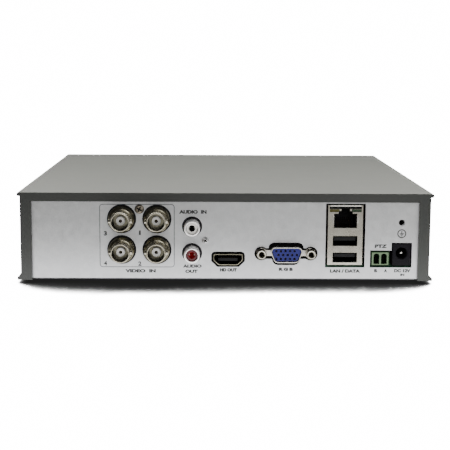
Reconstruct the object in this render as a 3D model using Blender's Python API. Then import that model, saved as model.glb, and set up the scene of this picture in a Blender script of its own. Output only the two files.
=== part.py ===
"""Four-channel video recorder: a flat plastic-covered box with its sockets on a steel rear panel.

Units are metres, written as millimetres times MM. +Z is up, the rear panel faces +Y and the front -Y.
The origin is on the floor, under the middle of the whole object.
"""

import math

import bmesh
import bpy
from mathutils import Vector

MM = 0.001
GAP = 0.3 * MM                       # left between pieces that touch

# Case
DEPTH = 205.0 * MM                   # front edge of the top plate to the rear rim
FOOT_HEIGHT = 1.8 * MM
CASE_HEIGHT = 44.4 * MM
LIP_HALF = 104.5 * MM                # top plate, half width
WALL_HALF = 103.0 * MM               # cover wall, half width outside
FLANGE_HALF = 104.8 * MM             # flared foot of the wall
LIP_THICK = 1.9 * MM
TOP_THICK = 2.2 * MM
WALL_THICK = 2.0 * MM
FLANGE_THICK = 1.6 * MM
FLARE_HEIGHT = 3.8 * MM
RIM_THICK = 1.4 * MM
RIM_OPENING_HALF = 97.3 * MM
RIM_BAND = 4.4 * MM                  # height of the rim above the rear panel
FRONT_OVERHANG = 1.5 * MM
SOCKET_REACH = 11.9 * MM             # video sockets, out from the rear panel
PANEL_RECESS = RIM_THICK + GAP

CASE_BOTTOM = FOOT_HEIGHT
CASE_TOP = CASE_BOTTOM + CASE_HEIGHT
RIM_Y = (DEPTH - (SOCKET_REACH - PANEL_RECESS)) / 2
FRONT_Y = RIM_Y - DEPTH
PANEL_Y = RIM_Y - PANEL_RECESS       # outer face of the rear panel
INNER_HALF = WALL_HALF - WALL_THICK
COVER_UNDER = CASE_TOP - TOP_THICK

# Chassis
SHEET = 1.0 * MM
BEND = 1.15 * MM                     # outer radius of the folds
CHASSIS_HALF = INNER_HALF - 0.4 * MM
BEZEL_THICK = 2.5 * MM
BEZEL_Y = FRONT_Y + FRONT_OVERHANG   # front face of the bezel
FRONT_FLANGE_Y = BEZEL_Y + BEZEL_THICK + GAP
FLANGE_TOP = CASE_BOTTOM + 13.2 * MM
PANEL_TOP = COVER_UNDER - 0.6 * MM
PANEL_BACK = PANEL_Y - SHEET
FLOOR_TOP = CASE_BOTTOM + SHEET
FEET = [(x, y) for x in (-66.0 * MM, 66.0 * MM) for y in (-88.0 * MM, 77.0 * MM)]
FOOT_RADIUS = 7.0 * MM
COVER_BOSSES = [(x, y) for x in (-95.5 * MM, 95.5 * MM) for y in (-96.0 * MM, 66.0 * MM)]
BOSS_RADIUS = 3.5 * MM
BOSS_BORE = 1.7 * MM
SCREW_SHANK = 1.35 * MM

# Main board
BOARD_LOW_X, BOARD_HIGH_X = -95.5 * MM, 70.0 * MM
BOARD_LOW_Y, BOARD_HIGH_Y = 6.0 * MM, 91.5 * MM
BOARD_BOTTOM = FLOOR_TOP + 4.6 * MM
BOARD_TOP = BOARD_BOTTOM + 1.6 * MM
ON_BOARD = BOARD_TOP + GAP
STANDOFFS = [(-88.0, 14.0), (-88.0, 80.0), (-10.0, 22.0), (64.0, 12.0), (66.0, 86.0)]

# Sockets on the rear panel: X and Z of their centres
BNC_X, BNC_PITCH_X = 43.5 * MM, 17.73 * MM
BNC_Z, BNC_PITCH_Z = 25.0 * MM, 15.65 * MM
BNC_HOLE = 7.35 * MM
RCA_X, RCA_Z, RCA_PITCH = 16.95 * MM, 22.3 * MM, 13.6 * MM
RCA_HOLE = 5.1 * MM
HD_X, HD_Z = -1.25 * MM, 12.25 * MM
DSUB_X, DSUB_Z, DSUB_SCREWS = -30.55 * MM, 15.4 * MM, 24.99 * MM
DSUB_WIDTH, DSUB_HEIGHT, DSUB_WALL = 15.9 * MM, 7.9 * MM, 0.5 * MM
LAN_X, LAN_LOW, LAN_HIGH = -60.4 * MM, 9.55 * MM, 40.25 * MM
LAN_WIDTH, LAN_DEPTH = 17.6 * MM, 21.5 * MM
USB_Z = (13.3 * MM, 21.8 * MM)
SERIAL_X, SERIAL_WIDTH, SERIAL_HIGH = -78.35 * MM, 9.1 * MM, 16.4 * MM
JACK_X, JACK_WIDTH, JACK_HIGH, JACK_BORE_Z = -89.15 * MM, 9.2 * MM, 20.5 * MM, 15.75 * MM
GROUND_HOLE = (-88.8 * MM, 31.4 * MM)
BNC_SCREW = (43.4 * MM, 37.8 * MM)
RCA_SCREW = (10.25 * MM, 22.0 * MM)

# Disk drive, a 3.5 inch unit lying across the front of the case
DRIVE_LOW_X, DRIVE_HIGH_X = -60.0 * MM, 87.0 * MM
DRIVE_LOW_Y, DRIVE_HIGH_Y = -100.0 * MM, 1.6 * MM
DRIVE_BOTTOM = FLOOR_TOP + 2.2 * MM
DRIVE_TOP = DRIVE_BOTTOM + 26.1 * MM
DRIVE_WALL = 2.6 * MM
DRIVE_LID = 3.1 * MM
PLATTER_RADIUS = 47.5 * MM
DRIVE_Y = (DRIVE_LOW_Y + DRIVE_HIGH_Y) / 2
SPINDLE = (DRIVE_HIGH_X - DRIVE_WALL - PLATTER_RADIUS - 0.7 * MM, DRIVE_Y)
PIVOT = (SPINDLE[0] - 50.0 * MM, SPINDLE[1] - 26.0 * MM)
PLATTER_BOTTOM, PLATTER_THICK = DRIVE_BOTTOM + 13.0 * MM, 1.3 * MM
ARM_LENGTH, ARM_THICK = 44.0 * MM, 1.6 * MM
ARM_REST_DEG = 83.5                  # direction of the parked arm, from +X
COIL_RADIUS = 20.0 * MM

# Front lights
LIGHT_Z = 24.0 * MM
LIGHTS = (("power", -88.5 * MM), ("drive", -84.0 * MM), ("network", -79.5 * MM))
LIGHT_RADIUS = 1.5 * MM
IR_WINDOW = (-75.5 * MM, -65.5 * MM, 20.5 * MM, 27.5 * MM)
FRONT_BOARD_Y = -99.5 * MM

DARK_PLASTIC = ((0.062, 0.066, 0.062), 0.42, 0.0)
BLACK_PLASTIC = ((0.012, 0.012, 0.013), 0.40, 0.0)
GLOSS_BLACK = ((0.006, 0.006, 0.007), 0.12, 0.0)
GALVANISED = ((0.60, 0.61, 0.62), 0.38, 1.0)
NICKEL = ((0.62, 0.58, 0.52), 0.25, 1.0)
RUBBER = ((0.015, 0.015, 0.015), 0.85, 0.0)
WHITE_PLASTIC = ((0.80, 0.78, 0.74), 0.40, 0.0)
RED_PLASTIC = ((0.22, 0.006, 0.020), 0.40, 0.0)
BLUE_PLASTIC = ((0.030, 0.035, 0.24), 0.42, 0.0)
GREEN_PLASTIC = ((0.020, 0.17, 0.055), 0.45, 0.0)
BOARD_GREEN = ((0.010, 0.075, 0.035), 0.40, 0.0)
CAST_ALUMINIUM = ((0.42, 0.43, 0.44), 0.50, 1.0)
POLISHED_DISC = ((0.75, 0.76, 0.78), 0.06, 1.0)
BLACK_ANODISED = ((0.020, 0.020, 0.022), 0.45, 0.6)
LAMP_PLASTIC = ((0.55, 0.75, 0.60), 0.20, 0.0)
RED_CABLE = ((0.30, 0.015, 0.012), 0.50, 0.0)
GREY_CABLE = ((0.22, 0.22, 0.23), 0.55, 0.0)


# ---------------------------------------------------------------- tools

def clear_scene():
    for obj in list(bpy.data.objects):
        bpy.data.objects.remove(obj, do_unlink=True)


def make_material(name, look):
    colour, roughness, metallic = look
    material = bpy.data.materials.new(name)
    material.use_nodes = True
    shader = material.node_tree.nodes["Principled BSDF"]
    shader.inputs["Base Color"].default_value = (*colour, 1.0)
    shader.inputs["Roughness"].default_value = roughness
    shader.inputs["Metallic"].default_value = metallic
    return material


def make_object(name, bm, look, location=(0.0, 0.0, 0.0)):
    """Turns a bmesh into a linked, smooth-shaded object with a material of its own."""
    bmesh.ops.recalc_face_normals(bm, faces=bm.faces)
    mesh = bpy.data.meshes.new(name)
    bm.to_mesh(mesh)
    bm.free()
    obj = bpy.data.objects.new(name, mesh)
    obj.location = location
    bpy.context.scene.collection.objects.link(obj)
    obj.data.materials.append(make_material(name, look))
    shade_smooth(obj)
    return obj


def shade_smooth(obj):
    obj.data.shade_smooth()
    obj.data.set_sharp_from_angle(angle=math.radians(35))


def bake(obj):
    """Replaces an object's mesh with the result of its modifiers."""
    depsgraph = bpy.context.evaluated_depsgraph_get()
    result = bpy.data.meshes.new_from_object(obj.evaluated_get(depsgraph))
    obj.modifiers.clear()
    obj.data = result
    shade_smooth(obj)


def combine(target, tool_bm, operation):
    """Cuts away, or joins on, the closed bodies in a bmesh."""
    tool = make_object("tool", tool_bm, BLACK_PLASTIC)
    modifier = target.modifiers.new("combine", "BOOLEAN")
    modifier.operation = operation
    modifier.solver = "EXACT"
    modifier.object = tool
    bake(target)
    bpy.data.objects.remove(tool, do_unlink=True)


def cut(target, tool_bm):
    combine(target, tool_bm, "DIFFERENCE")


def join(target, tool_bm):
    combine(target, tool_bm, "UNION")


def place(axis, along, a, b):
    """The point at a distance along one axis, with a and b on the other two in X, Y, Z order."""
    if axis == "X":
        return Vector((along, a, b))
    if axis == "Y":
        return Vector((a, along, b))
    return Vector((a, b, along))


def add_prism(bm, outline, axis, start, end):
    """Adds the solid that a closed outline sweeps along an axis."""
    near = [bm.verts.new(place(axis, start, a, b)) for a, b in outline]
    far = [bm.verts.new(place(axis, end, a, b)) for a, b in outline]
    bm.faces.new(near)
    bm.faces.new(far[::-1])
    for i in range(len(outline)):
        bm.faces.new((near[i - 1], near[i], far[i], far[i - 1]))


def add_turned(bm, profile, axis, centre, steps):
    """Adds a solid of revolution from (radius, along) points: axis to axis, or a closed loop."""
    rings = []
    for radius, along in profile:
        if radius == 0.0:
            rings.append([bm.verts.new(place(axis, along, *centre))])
            continue
        ring = []
        for i in range(steps):
            turn = 2 * math.pi * i / steps
            a = centre[0] + radius * math.cos(turn)
            b = centre[1] + radius * math.sin(turn)
            ring.append(bm.verts.new(place(axis, along, a, b)))
        rings.append(ring)
    pairs = list(zip(rings, rings[1:]))
    if profile[0][0] > 0.0:
        pairs.append((rings[-1], rings[0]))
    for first, second in pairs:
        for i in range(steps):
            near = first if len(first) == 1 else [first[i - 1], first[i]]
            far = second if len(second) == 1 else [second[i], second[i - 1]]
            bm.faces.new(near + far)


def prism(outline, axis, start, end):
    bm = bmesh.new()
    add_prism(bm, outline, axis, start, end)
    return bm


def turned(profile, axis, centre, steps):
    bm = bmesh.new()
    add_turned(bm, profile, axis, centre, steps)
    return bm


def block(low, high):
    """A plain box between two corners."""
    bm = bmesh.new()
    add_prism(bm, rectangle(low[0], high[0], low[1], high[1]), "Z", low[2], high[2])
    return bm


def arc(centre, radius, start_deg, end_deg, steps):
    points = []
    for i in range(steps + 1):
        turn = math.radians(start_deg + (end_deg - start_deg) * i / steps)
        points.append((centre[0] + radius * math.cos(turn), centre[1] + radius * math.sin(turn)))
    return points


def circle(centre, radius, steps):
    return arc(centre, radius, 0, 360, steps)[:-1]


def rectangle(low_a, high_a, low_b, high_b):
    return [(low_a, low_b), (high_a, low_b), (high_a, high_b), (low_a, high_b)]


def rounded(low_a, high_a, low_b, high_b, radius, steps=3):
    """A rectangle with round corners."""
    points = arc((high_a - radius, low_b + radius), radius, -90, 0, steps)
    points += arc((high_a - radius, high_b - radius), radius, 0, 90, steps)
    points += arc((low_a + radius, high_b - radius), radius, 90, 180, steps)
    points += arc((low_a + radius, low_b + radius), radius, 180, 270, steps)
    return points


def around(centre, width, height):
    """Low and high limits of a rectangle about a centre."""
    return centre[0] - width / 2, centre[0] + width / 2, centre[1] - height / 2, centre[1] + height / 2


def shifted(outline, centre):
    return [(centre[0] + a, centre[1] + b) for a, b in outline]


def smooth_route(points, per_span):
    """A Catmull-Rom curve through the points."""
    ends = [points[0] * 2 - points[1]] + points + [points[-1] * 2 - points[-2]]
    route = []
    for before, start, end, after in zip(ends, ends[1:], ends[2:], ends[3:]):
        for i in range(per_span):
            t = i / per_span
            route.append(0.5 * (2 * start + (end - before) * t
                                + (2 * before - 5 * start + 4 * end - after) * t ** 2
                                + (3 * start - before - 3 * end + after) * t ** 3))
    return route + [points[-1]]


def make_cable(name, stops, radius, look):
    """A cable through the stops, which are in millimetres."""
    points = smooth_route([Vector(stop) * MM for stop in stops], 4)
    curve = bpy.data.curves.new(name, "CURVE")
    curve.dimensions = "3D"
    curve.bevel_depth = radius
    curve.bevel_resolution = 2
    curve.use_fill_caps = True
    spline = curve.splines.new("POLY")
    spline.points.add(len(points) - 1)
    for target, point in zip(spline.points, points):
        target.co = (*point, 1.0)
    obj = bpy.data.objects.new(name, curve)
    bpy.context.scene.collection.objects.link(obj)
    curve.materials.append(make_material(name, look))
    return obj


# ---------------------------------------------------------------- case

def cover_outline():
    """Section of the cover across the case: top plate with round lips, walls, and flared wall feet."""
    lip_radius = LIP_THICK / 2
    lip_centre = (LIP_HALF - lip_radius, CASE_TOP - lip_radius)
    foot_round = 0.5 * MM
    foot_top = CASE_BOTTOM + FLANGE_THICK
    flare = FLANGE_HALF - 0.3 * MM - WALL_HALF
    flare_rise = FLARE_HEIGHT - FLANGE_THICK
    half = [(INNER_HALF, COVER_UNDER), (INNER_HALF, CASE_BOTTOM)]
    half += arc((FLANGE_HALF - foot_round, CASE_BOTTOM + foot_round), foot_round, -90, 0, 2)
    half += [(FLANGE_HALF, foot_top - 0.3 * MM)]
    for i in range(5):
        turn = math.radians(90 * i / 4)
        half.append((WALL_HALF + flare * (1 - math.sin(turn)),
                     foot_top + flare_rise * (1 - math.cos(turn))))
    half += [(WALL_HALF, CASE_TOP - LIP_THICK)]
    half += arc(lip_centre, lip_radius, -90, 90, 6)
    mirrored = [(-x, z) for x, z in reversed(half)]
    return half + mirrored


def make_cover():
    cover = make_object("top_cover", prism(cover_outline(), "Y", FRONT_Y, RIM_Y), DARK_PLASTIC)
    rim = bmesh.new()
    add_prism(rim, rim_outline(), "Y", RIM_Y - RIM_THICK, RIM_Y)
    join(cover, rim)
    bosses = bmesh.new()
    for centre in COVER_BOSSES:
        outline = circle(centre, BOSS_RADIUS, 16)
        add_prism(bosses, outline, "Z", FLOOR_TOP + GAP, CASE_TOP - TOP_THICK / 2)
    join(cover, bosses)
    bores = bmesh.new()
    for centre in COVER_BOSSES:
        add_prism(bores, circle(centre, BOSS_BORE, 12), "Z", CASE_BOTTOM, CASE_BOTTOM + 14 * MM)
    cut(cover, bores)
    front = bmesh.new()
    add_prism(front, rectangle(-2 * FLANGE_HALF, 2 * FLANGE_HALF, 0.0, CASE_TOP - LIP_THICK),
              "Y", FRONT_Y - 5 * MM, BEZEL_Y)
    cut(cover, front)


def rim_outline():
    """The rear frame round the panel, open at the bottom. It overlaps the walls and the top plate."""
    outer = WALL_HALF - 0.5 * MM
    top = CASE_TOP - 0.7 * MM
    band = CASE_TOP - RIM_BAND
    return [(-outer, CASE_BOTTOM), (-RIM_OPENING_HALF, CASE_BOTTOM), (-RIM_OPENING_HALF, band),
            (RIM_OPENING_HALF, band), (RIM_OPENING_HALF, CASE_BOTTOM), (outer, CASE_BOTTOM),
            (outer, top), (-outer, top)]


def add_flap(bm, edge, outward, top, bend_steps=3):
    """Folds a strip of sheet up from an edge of the floor, round a bend."""
    previous = edge
    rows = [(BEND * math.sin(math.radians(90 * i / bend_steps)),
             BEND * (1 - math.cos(math.radians(90 * i / bend_steps))))
            for i in range(1, bend_steps + 1)]
    rows.append((BEND, top - CASE_BOTTOM))
    for out, rise in rows:
        row = [bm.verts.new(v.co + outward * out + Vector((0, 0, rise))) for v in edge]
        bm.faces.new((previous[0], previous[1], row[1], row[0]))
        previous = row


def folded_sheet():
    """Outer surface of the chassis: a floor with the panel and three flanges folded up from it."""
    relief = 1.2 * MM
    x = CHASSIS_HALF - BEND
    front, rear = FRONT_FLANGE_Y + BEND, PANEL_Y - BEND
    corners = [(-x, front), (x, front), (x, rear), (-x, rear)]
    bm = bmesh.new()
    ring, edges = [], []
    for i, (start, end) in enumerate(zip(corners, corners[1:] + corners[:1])):
        along = (Vector(end) - Vector(start)).normalized() * relief
        ring.append(bm.verts.new((*start, CASE_BOTTOM)))
        first = bm.verts.new((start[0] + along.x, start[1] + along.y, CASE_BOTTOM))
        second = bm.verts.new((end[0] - along.x, end[1] - along.y, CASE_BOTTOM))
        ring += [first, second]
        edges.append((first, second))
    bm.faces.new(ring)
    outwards = [Vector((0, -1, 0)), Vector((1, 0, 0)), Vector((0, 1, 0)), Vector((-1, 0, 0))]
    tops = [FLANGE_TOP, FLANGE_TOP, PANEL_TOP, FLANGE_TOP]
    for edge, outward, top in zip(edges, outwards, tops):
        add_flap(bm, edge, outward, top)
    return bm


def hd_outline(grow):
    """Outline of the high-definition socket: round upper corners, lower corners slanted in."""
    half, top, shoulder, foot, corner = 7.55 * MM, 2.95 * MM, -0.45 * MM, 4.9 * MM, 0.8 * MM
    points = [(-half - grow, shoulder - grow * 0.6), (-foot - grow * 0.6, -top - grow),
              (foot + grow * 0.6, -top - grow), (half + grow, shoulder - grow * 0.6)]
    points += arc((half - corner, top - corner), corner + grow, 0, 90, 2)
    points += arc((corner - half, top - corner), corner + grow, 90, 180, 2)
    return points


def d_outline(width, height, radius, steps=3):
    """The D of a fifteen-way socket: wide at the top, with its sides ten degrees in."""
    lean = math.tan(math.radians(10)) * height / 2
    wide, narrow = width / 2 - radius, width / 2 - 2 * lean - radius
    high = height / 2 - radius
    points = arc((narrow, -high), radius, -90, -10, steps)
    points += arc((wide, high), radius, -10, 90, steps)
    points += arc((-wide, high), radius, 90, 190, steps)
    points += arc((-narrow, -high), radius, 190, 270, steps)
    return points


def low_cutout_outline():
    """Shared opening of the serial header and the power jack."""
    step_x = JACK_X + JACK_WIDTH / 2 + 0.6 * MM
    low, serial_top, jack_top = 8.4 * MM, SERIAL_HIGH + 0.75 * MM, JACK_HIGH + 0.6 * MM
    left, right = SERIAL_X + SERIAL_WIDTH / 2 + 0.65 * MM, JACK_X - JACK_WIDTH / 2 - 0.5 * MM
    return [(right, low), (left, low), (left, serial_top), (step_x, serial_top),
            (step_x, jack_top), (right, jack_top)]


def bnc_centres():
    return [(BNC_X + side * BNC_PITCH_X / 2, BNC_Z + row * BNC_PITCH_Z / 2)
            for side in (1, -1) for row in (1, -1)]


def rca_centres():
    return [("audio_in", (RCA_X, RCA_Z + RCA_PITCH / 2)), ("audio_out", (RCA_X, RCA_Z - RCA_PITCH / 2))]


def dsub_screw_centres():
    return [("left", (DSUB_X + DSUB_SCREWS / 2, DSUB_Z)), ("right", (DSUB_X - DSUB_SCREWS / 2, DSUB_Z))]


def panel_openings():
    """The rear panel's holes and cut-outs, as outlines in X and Z."""
    holes = [circle(centre, BNC_HOLE, 32) for centre in bnc_centres()]
    holes += [circle(centre, RCA_HOLE, 24) for _, centre in rca_centres()]
    holes += [circle(BNC_SCREW, 1.5 * MM, 12), circle(RCA_SCREW, 1.5 * MM, 12)]
    holes += [circle(GROUND_HOLE, 1.55 * MM, 16)]
    holes += [shifted(hd_outline(0.95 * MM), (HD_X, HD_Z + 0.15 * MM))]
    holes += [shifted(d_outline(17.9 * MM, 11.5 * MM, 2.8 * MM), (DSUB_X, DSUB_Z - 0.15 * MM))]
    holes += [rectangle(LAN_X - 9.98 * MM, LAN_X + 9.98 * MM, 8.4 * MM, 40.95 * MM)]
    holes += [low_cutout_outline()]
    return holes


def add_through(bm, outline):
    """Adds the tool that cuts an outline through the rear panel."""
    add_prism(bm, outline, "Y", PANEL_Y - 3 * MM, PANEL_Y + 3 * MM)


def floor_openings():
    """Screw holes and ventilation slots in the chassis floor, as outlines in X and Y."""
    holes = [circle(centre, 1.7 * MM, 12) for centre in COVER_BOSSES]
    slot_pitch, slot_half, slot_length = 7.0 * MM, 1.25 * MM, 24.0 * MM
    for row_y in (28.0 * MM, 56.0 * MM):
        for i in range(-3, 4):
            x = 22.0 * MM + i * slot_pitch
            holes.append(rectangle(x - slot_half, x + slot_half, row_y, row_y + slot_length))
    return holes


def make_chassis():
    chassis = make_object("chassis", folded_sheet(), GALVANISED)
    if chassis.data.polygons[0].normal.z > 0:
        chassis.data.flip_normals()
    solidify = chassis.modifiers.new("sheet", "SOLIDIFY")
    solidify.thickness = SHEET
    solidify.offset = -1.0
    solidify.use_even_offset = True
    bake(chassis)
    raised = bmesh.new()
    for x, y in STANDOFFS:
        outline = circle((x * MM, y * MM), 3.0 * MM, 12)
        add_prism(raised, outline, "Z", FLOOR_TOP - SHEET / 2, BOARD_BOTTOM - GAP)
    for x in (DRIVE_LOW_X + 18 * MM, DRIVE_HIGH_X - 18 * MM):
        for y in (DRIVE_LOW_Y + 3.5 * MM, DRIVE_HIGH_Y - 3.5 * MM):
            add_prism(raised, circle((x, y), 3.2 * MM, 12), "Z", FLOOR_TOP - SHEET / 2, DRIVE_BOTTOM - GAP)
    join(chassis, raised)
    holes = bmesh.new()
    for outline in panel_openings():
        add_through(holes, outline)
    for outline in floor_openings():
        add_prism(holes, outline, "Z", CASE_BOTTOM - 2 * MM, FLOOR_TOP + 1 * MM)
    cut(chassis, holes)
    ears = bmesh.new()
    for _, centre in dsub_screw_centres():
        add_through(ears, circle(centre, 3.55 * MM, 20))
    cut(chassis, ears)
    necks = bmesh.new()
    add_through(necks, rectangle(*around((DSUB_X, DSUB_Z), DSUB_SCREWS, 5.4 * MM)))
    cut(chassis, necks)


def make_bezel():
    half = INNER_HALF - GAP
    low, high = CASE_BOTTOM + GAP, COVER_UNDER - GAP
    bezel = make_object("front_bezel", prism(rectangle(-half, half, low, high), "Y",
                                             BEZEL_Y, BEZEL_Y + BEZEL_THICK), GLOSS_BLACK)
    holes = bmesh.new()
    for _, x in LIGHTS:
        add_prism(holes, circle((x, LIGHT_Z), LIGHT_RADIUS + GAP, 12), "Y",
                  BEZEL_Y - MM, BEZEL_Y + BEZEL_THICK + MM)
    left, right, bottom, top = IR_WINDOW
    add_prism(holes, rectangle(left - GAP, right + GAP, bottom - GAP, top + GAP), "Y",
              BEZEL_Y - MM, BEZEL_Y + BEZEL_THICK + MM)
    cut(bezel, holes)
    make_object("ir_window", prism(rounded(left, right, bottom, top, 0.8 * MM), "Y",
                                   BEZEL_Y + 0.1 * MM, BEZEL_Y + BEZEL_THICK), GLOSS_BLACK)
    for name, x in LIGHTS:
        back = FRONT_BOARD_Y - 1.2 * MM
        profile = [(0.0, BEZEL_Y + 0.1 * MM), (LIGHT_RADIUS - 0.4 * MM, BEZEL_Y + 0.1 * MM),
                   (LIGHT_RADIUS, BEZEL_Y + 0.5 * MM), (LIGHT_RADIUS, back), (0.0, back)]
        make_object(f"light_pipe_{name}", turned(profile, "Y", (x, LIGHT_Z), 12), LAMP_PLASTIC)


def make_feet():
    for number, centre in enumerate(FEET, 1):
        top = CASE_BOTTOM - GAP
        profile = [(0.0, 0.0), (FOOT_RADIUS - 0.6 * MM, 0.0), (FOOT_RADIUS, 0.8 * MM),
                   (FOOT_RADIUS, top), (0.0, top)]
        make_object(f"foot_{number}", turned(profile, "Z", centre, 20), RUBBER)


def make_cover_screws():
    for number, centre in enumerate(COVER_BOSSES, 1):
        head_top = CASE_BOTTOM - GAP
        head_low = head_top - 1.3 * MM
        profile = [(0.0, head_low + 0.8 * MM), (0.9 * MM, head_low + 0.8 * MM), (0.9 * MM, head_low),
                   (2.0 * MM, head_low), (2.7 * MM, head_low + 0.7 * MM), (2.7 * MM, head_top),
                   (SCREW_SHANK, head_top), (SCREW_SHANK, CASE_BOTTOM + 9.5 * MM),
                   (0.0, CASE_BOTTOM + 11 * MM)]
        make_object(f"cover_screw_{number}", turned(profile, "Z", centre, 12), NICKEL)


# ---------------------------------------------------------------- sockets

def make_video_sockets():
    housing = make_object("bnc_housing", block((BNC_X - 17.3 * MM, PANEL_BACK - 14.3 * MM, ON_BOARD),
                                               (BNC_X + 17.3 * MM, PANEL_BACK - GAP, 41.5 * MM)),
                          BLACK_PLASTIC)
    cut(housing, prism(circle(BNC_SCREW, 1.4 * MM, 12), "Y", PANEL_BACK - 8 * MM, PANEL_BACK + MM))
    root = PANEL_BACK + 0.1 * MM
    tip = PANEL_Y + SOCKET_REACH
    floor = PANEL_Y + 2.0 * MM
    base, barrel, bore = 6.45 * MM, 4.8 * MM, 4.1 * MM
    profile = [(0.0, root), (base, root), (base, PANEL_Y + 3.6 * MM), (base - 0.5 * MM, PANEL_Y + 4.1 * MM),
               (barrel, PANEL_Y + 4.9 * MM), (barrel, tip - 0.3 * MM), (barrel - 0.3 * MM, tip),
               (bore + 0.1 * MM, tip), (bore, tip - 0.3 * MM), (bore, floor), (0.0, floor)]
    insulator_tip = tip - 4.2 * MM
    core = [(0.0, floor + GAP), (2.45 * MM, floor + GAP), (2.45 * MM, insulator_tip),
            (0.7 * MM, insulator_tip), (0.7 * MM, insulator_tip - 3 * MM), (0.0, insulator_tip - 3 * MM)]
    for number, centre in zip((3, 4, 1, 2), bnc_centres()):
        shell = make_object(f"bnc_shell_{number}", turned(profile, "Y", centre, 24), NICKEL)
        lugs = bmesh.new()
        for side in (-1, 1):
            lug_centre = (tip - 3.2 * MM, centre[1])
            start = centre[0] + side * (bore + 0.35 * MM)
            end = centre[0] + side * (barrel + 1.0 * MM)
            add_prism(lugs, circle(lug_centre, 1.0 * MM, 10), "X", min(start, end), max(start, end))
        join(shell, lugs)
        make_object(f"bnc_insulator_{number}", turned(core, "Y", centre, 16), WHITE_PLASTIC)


def make_audio_sockets():
    housing = make_object("rca_housing", block((7.5 * MM, PANEL_BACK - 12.3 * MM, ON_BOARD),
                                               (22.6 * MM, PANEL_BACK - GAP, 36.0 * MM)), BLACK_PLASTIC)
    collars = bmesh.new()
    for _, centre in rca_centres():
        add_prism(collars, circle(centre, RCA_HOLE - GAP, 20), "Y", PANEL_BACK - 2 * MM, PANEL_Y - GAP)
    join(housing, collars)
    cut(housing, prism(circle(RCA_SCREW, 1.4 * MM, 12), "Y", PANEL_BACK - 8 * MM, PANEL_BACK + MM))
    root, tip, floor = PANEL_Y, PANEL_Y + 7.5 * MM, PANEL_Y + 1.0 * MM
    outer, bore = 4.15 * MM, 3.2 * MM
    profile = [(0.0, root), (outer, root), (outer, tip - 0.5 * MM), (outer - 0.4 * MM, tip),
               (bore + 0.2 * MM, tip), (bore, tip - 0.3 * MM), (bore, floor), (0.0, floor)]
    face = tip - 0.8 * MM
    core = [(0.0, floor + GAP), (bore - GAP, floor + GAP), (bore - GAP, face), (1.55 * MM, face),
            (1.55 * MM, face - 4.5 * MM), (0.0, face - 4.5 * MM)]
    looks = {"audio_in": WHITE_PLASTIC, "audio_out": RED_PLASTIC}
    for name, centre in rca_centres():
        make_object(f"rca_shell_{name}", turned(profile, "Y", centre, 24), NICKEL)
        make_object(f"rca_insert_{name}", turned(core, "Y", centre, 16), looks[name])


def make_hd_socket():
    front, back = PANEL_Y + 0.5 * MM, PANEL_Y - 11.5 * MM
    shell = make_object("hd_socket_shell", prism(shifted(hd_outline(0.0), (HD_X, HD_Z)), "Y", back, front),
                        NICKEL)
    cut(shell, prism(shifted(hd_outline(-0.55 * MM), (HD_X, HD_Z)), "Y", back + 1.5 * MM, front + MM))
    low, high = HD_Z - 0.9 * MM, HD_Z + 0.7 * MM
    make_object("hd_socket_tongue", block((HD_X - 4.9 * MM, back + 1.5 * MM + GAP, low),
                                          (HD_X + 4.9 * MM, front - 1.2 * MM, high)), BLACK_PLASTIC)


def make_dsub():
    flange_front, flange_back = PANEL_BACK - GAP, PANEL_BACK - 1.1 * MM
    tip = PANEL_Y + 4.8 * MM
    centre = (DSUB_X, DSUB_Z)
    flange = shifted(dsub_flange_outline(), centre)
    shell = make_object("dsub_shell", prism(flange, "Y", flange_back, flange_front), NICKEL)
    d_shell = shifted(d_outline(DSUB_WIDTH, DSUB_HEIGHT, 2.3 * MM), centre)
    join(shell, prism(d_shell, "Y", flange_back + 0.2 * MM, tip))
    bore_width, bore_height = DSUB_WIDTH - 2 * DSUB_WALL, DSUB_HEIGHT - 2 * DSUB_WALL
    d_bore = shifted(d_outline(bore_width, bore_height, 1.8 * MM), centre)
    cut(shell, prism(d_bore, "Y", flange_back - MM, tip + MM))
    d_core = shifted(d_outline(bore_width - 2 * GAP, bore_height - 2 * GAP, 1.5 * MM), centre)
    core_back, core_front = flange_back - 0.5 * MM, tip - 0.7 * MM
    insert = make_object("dsub_insert", prism(d_core, "Y", core_back, core_front), BLUE_PLASTIC)
    rear = block((DSUB_X - 15 * MM, flange_back - 9 * MM, ON_BOARD),
                 (DSUB_X + 15 * MM, flange_back - GAP, DSUB_Z + 5.8 * MM))
    join(insert, rear)
    for name, centre in dsub_screw_centres():
        make_jackscrew(f"dsub_jackscrew_{name}", centre, flange_front + GAP)


def dsub_flange_outline():
    """Flange of the D socket: a plate that narrows to a round ear at each jackscrew."""
    ear, reach, plate_x, plate_z = 2.6 * MM, DSUB_SCREWS / 2, 8.2 * MM, 4.4 * MM
    right = [(plate_x, -plate_z)] + arc((reach, 0.0), ear, -60, 60, 6) + [(plate_x, plate_z)]
    left = [(-x, -z) for x, z in right]
    return right + left


def make_jackscrew(name, centre, start):
    end = PANEL_Y + 4.0 * MM
    across_corners = 4.75 * MM / math.cos(math.radians(30)) / 2
    screw = make_object(name, prism(circle(centre, across_corners, 6), "Y", start, end), NICKEL)
    cut(screw, prism(circle(centre, 1.4 * MM, 12), "Y", start + MM, end + MM))


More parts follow.
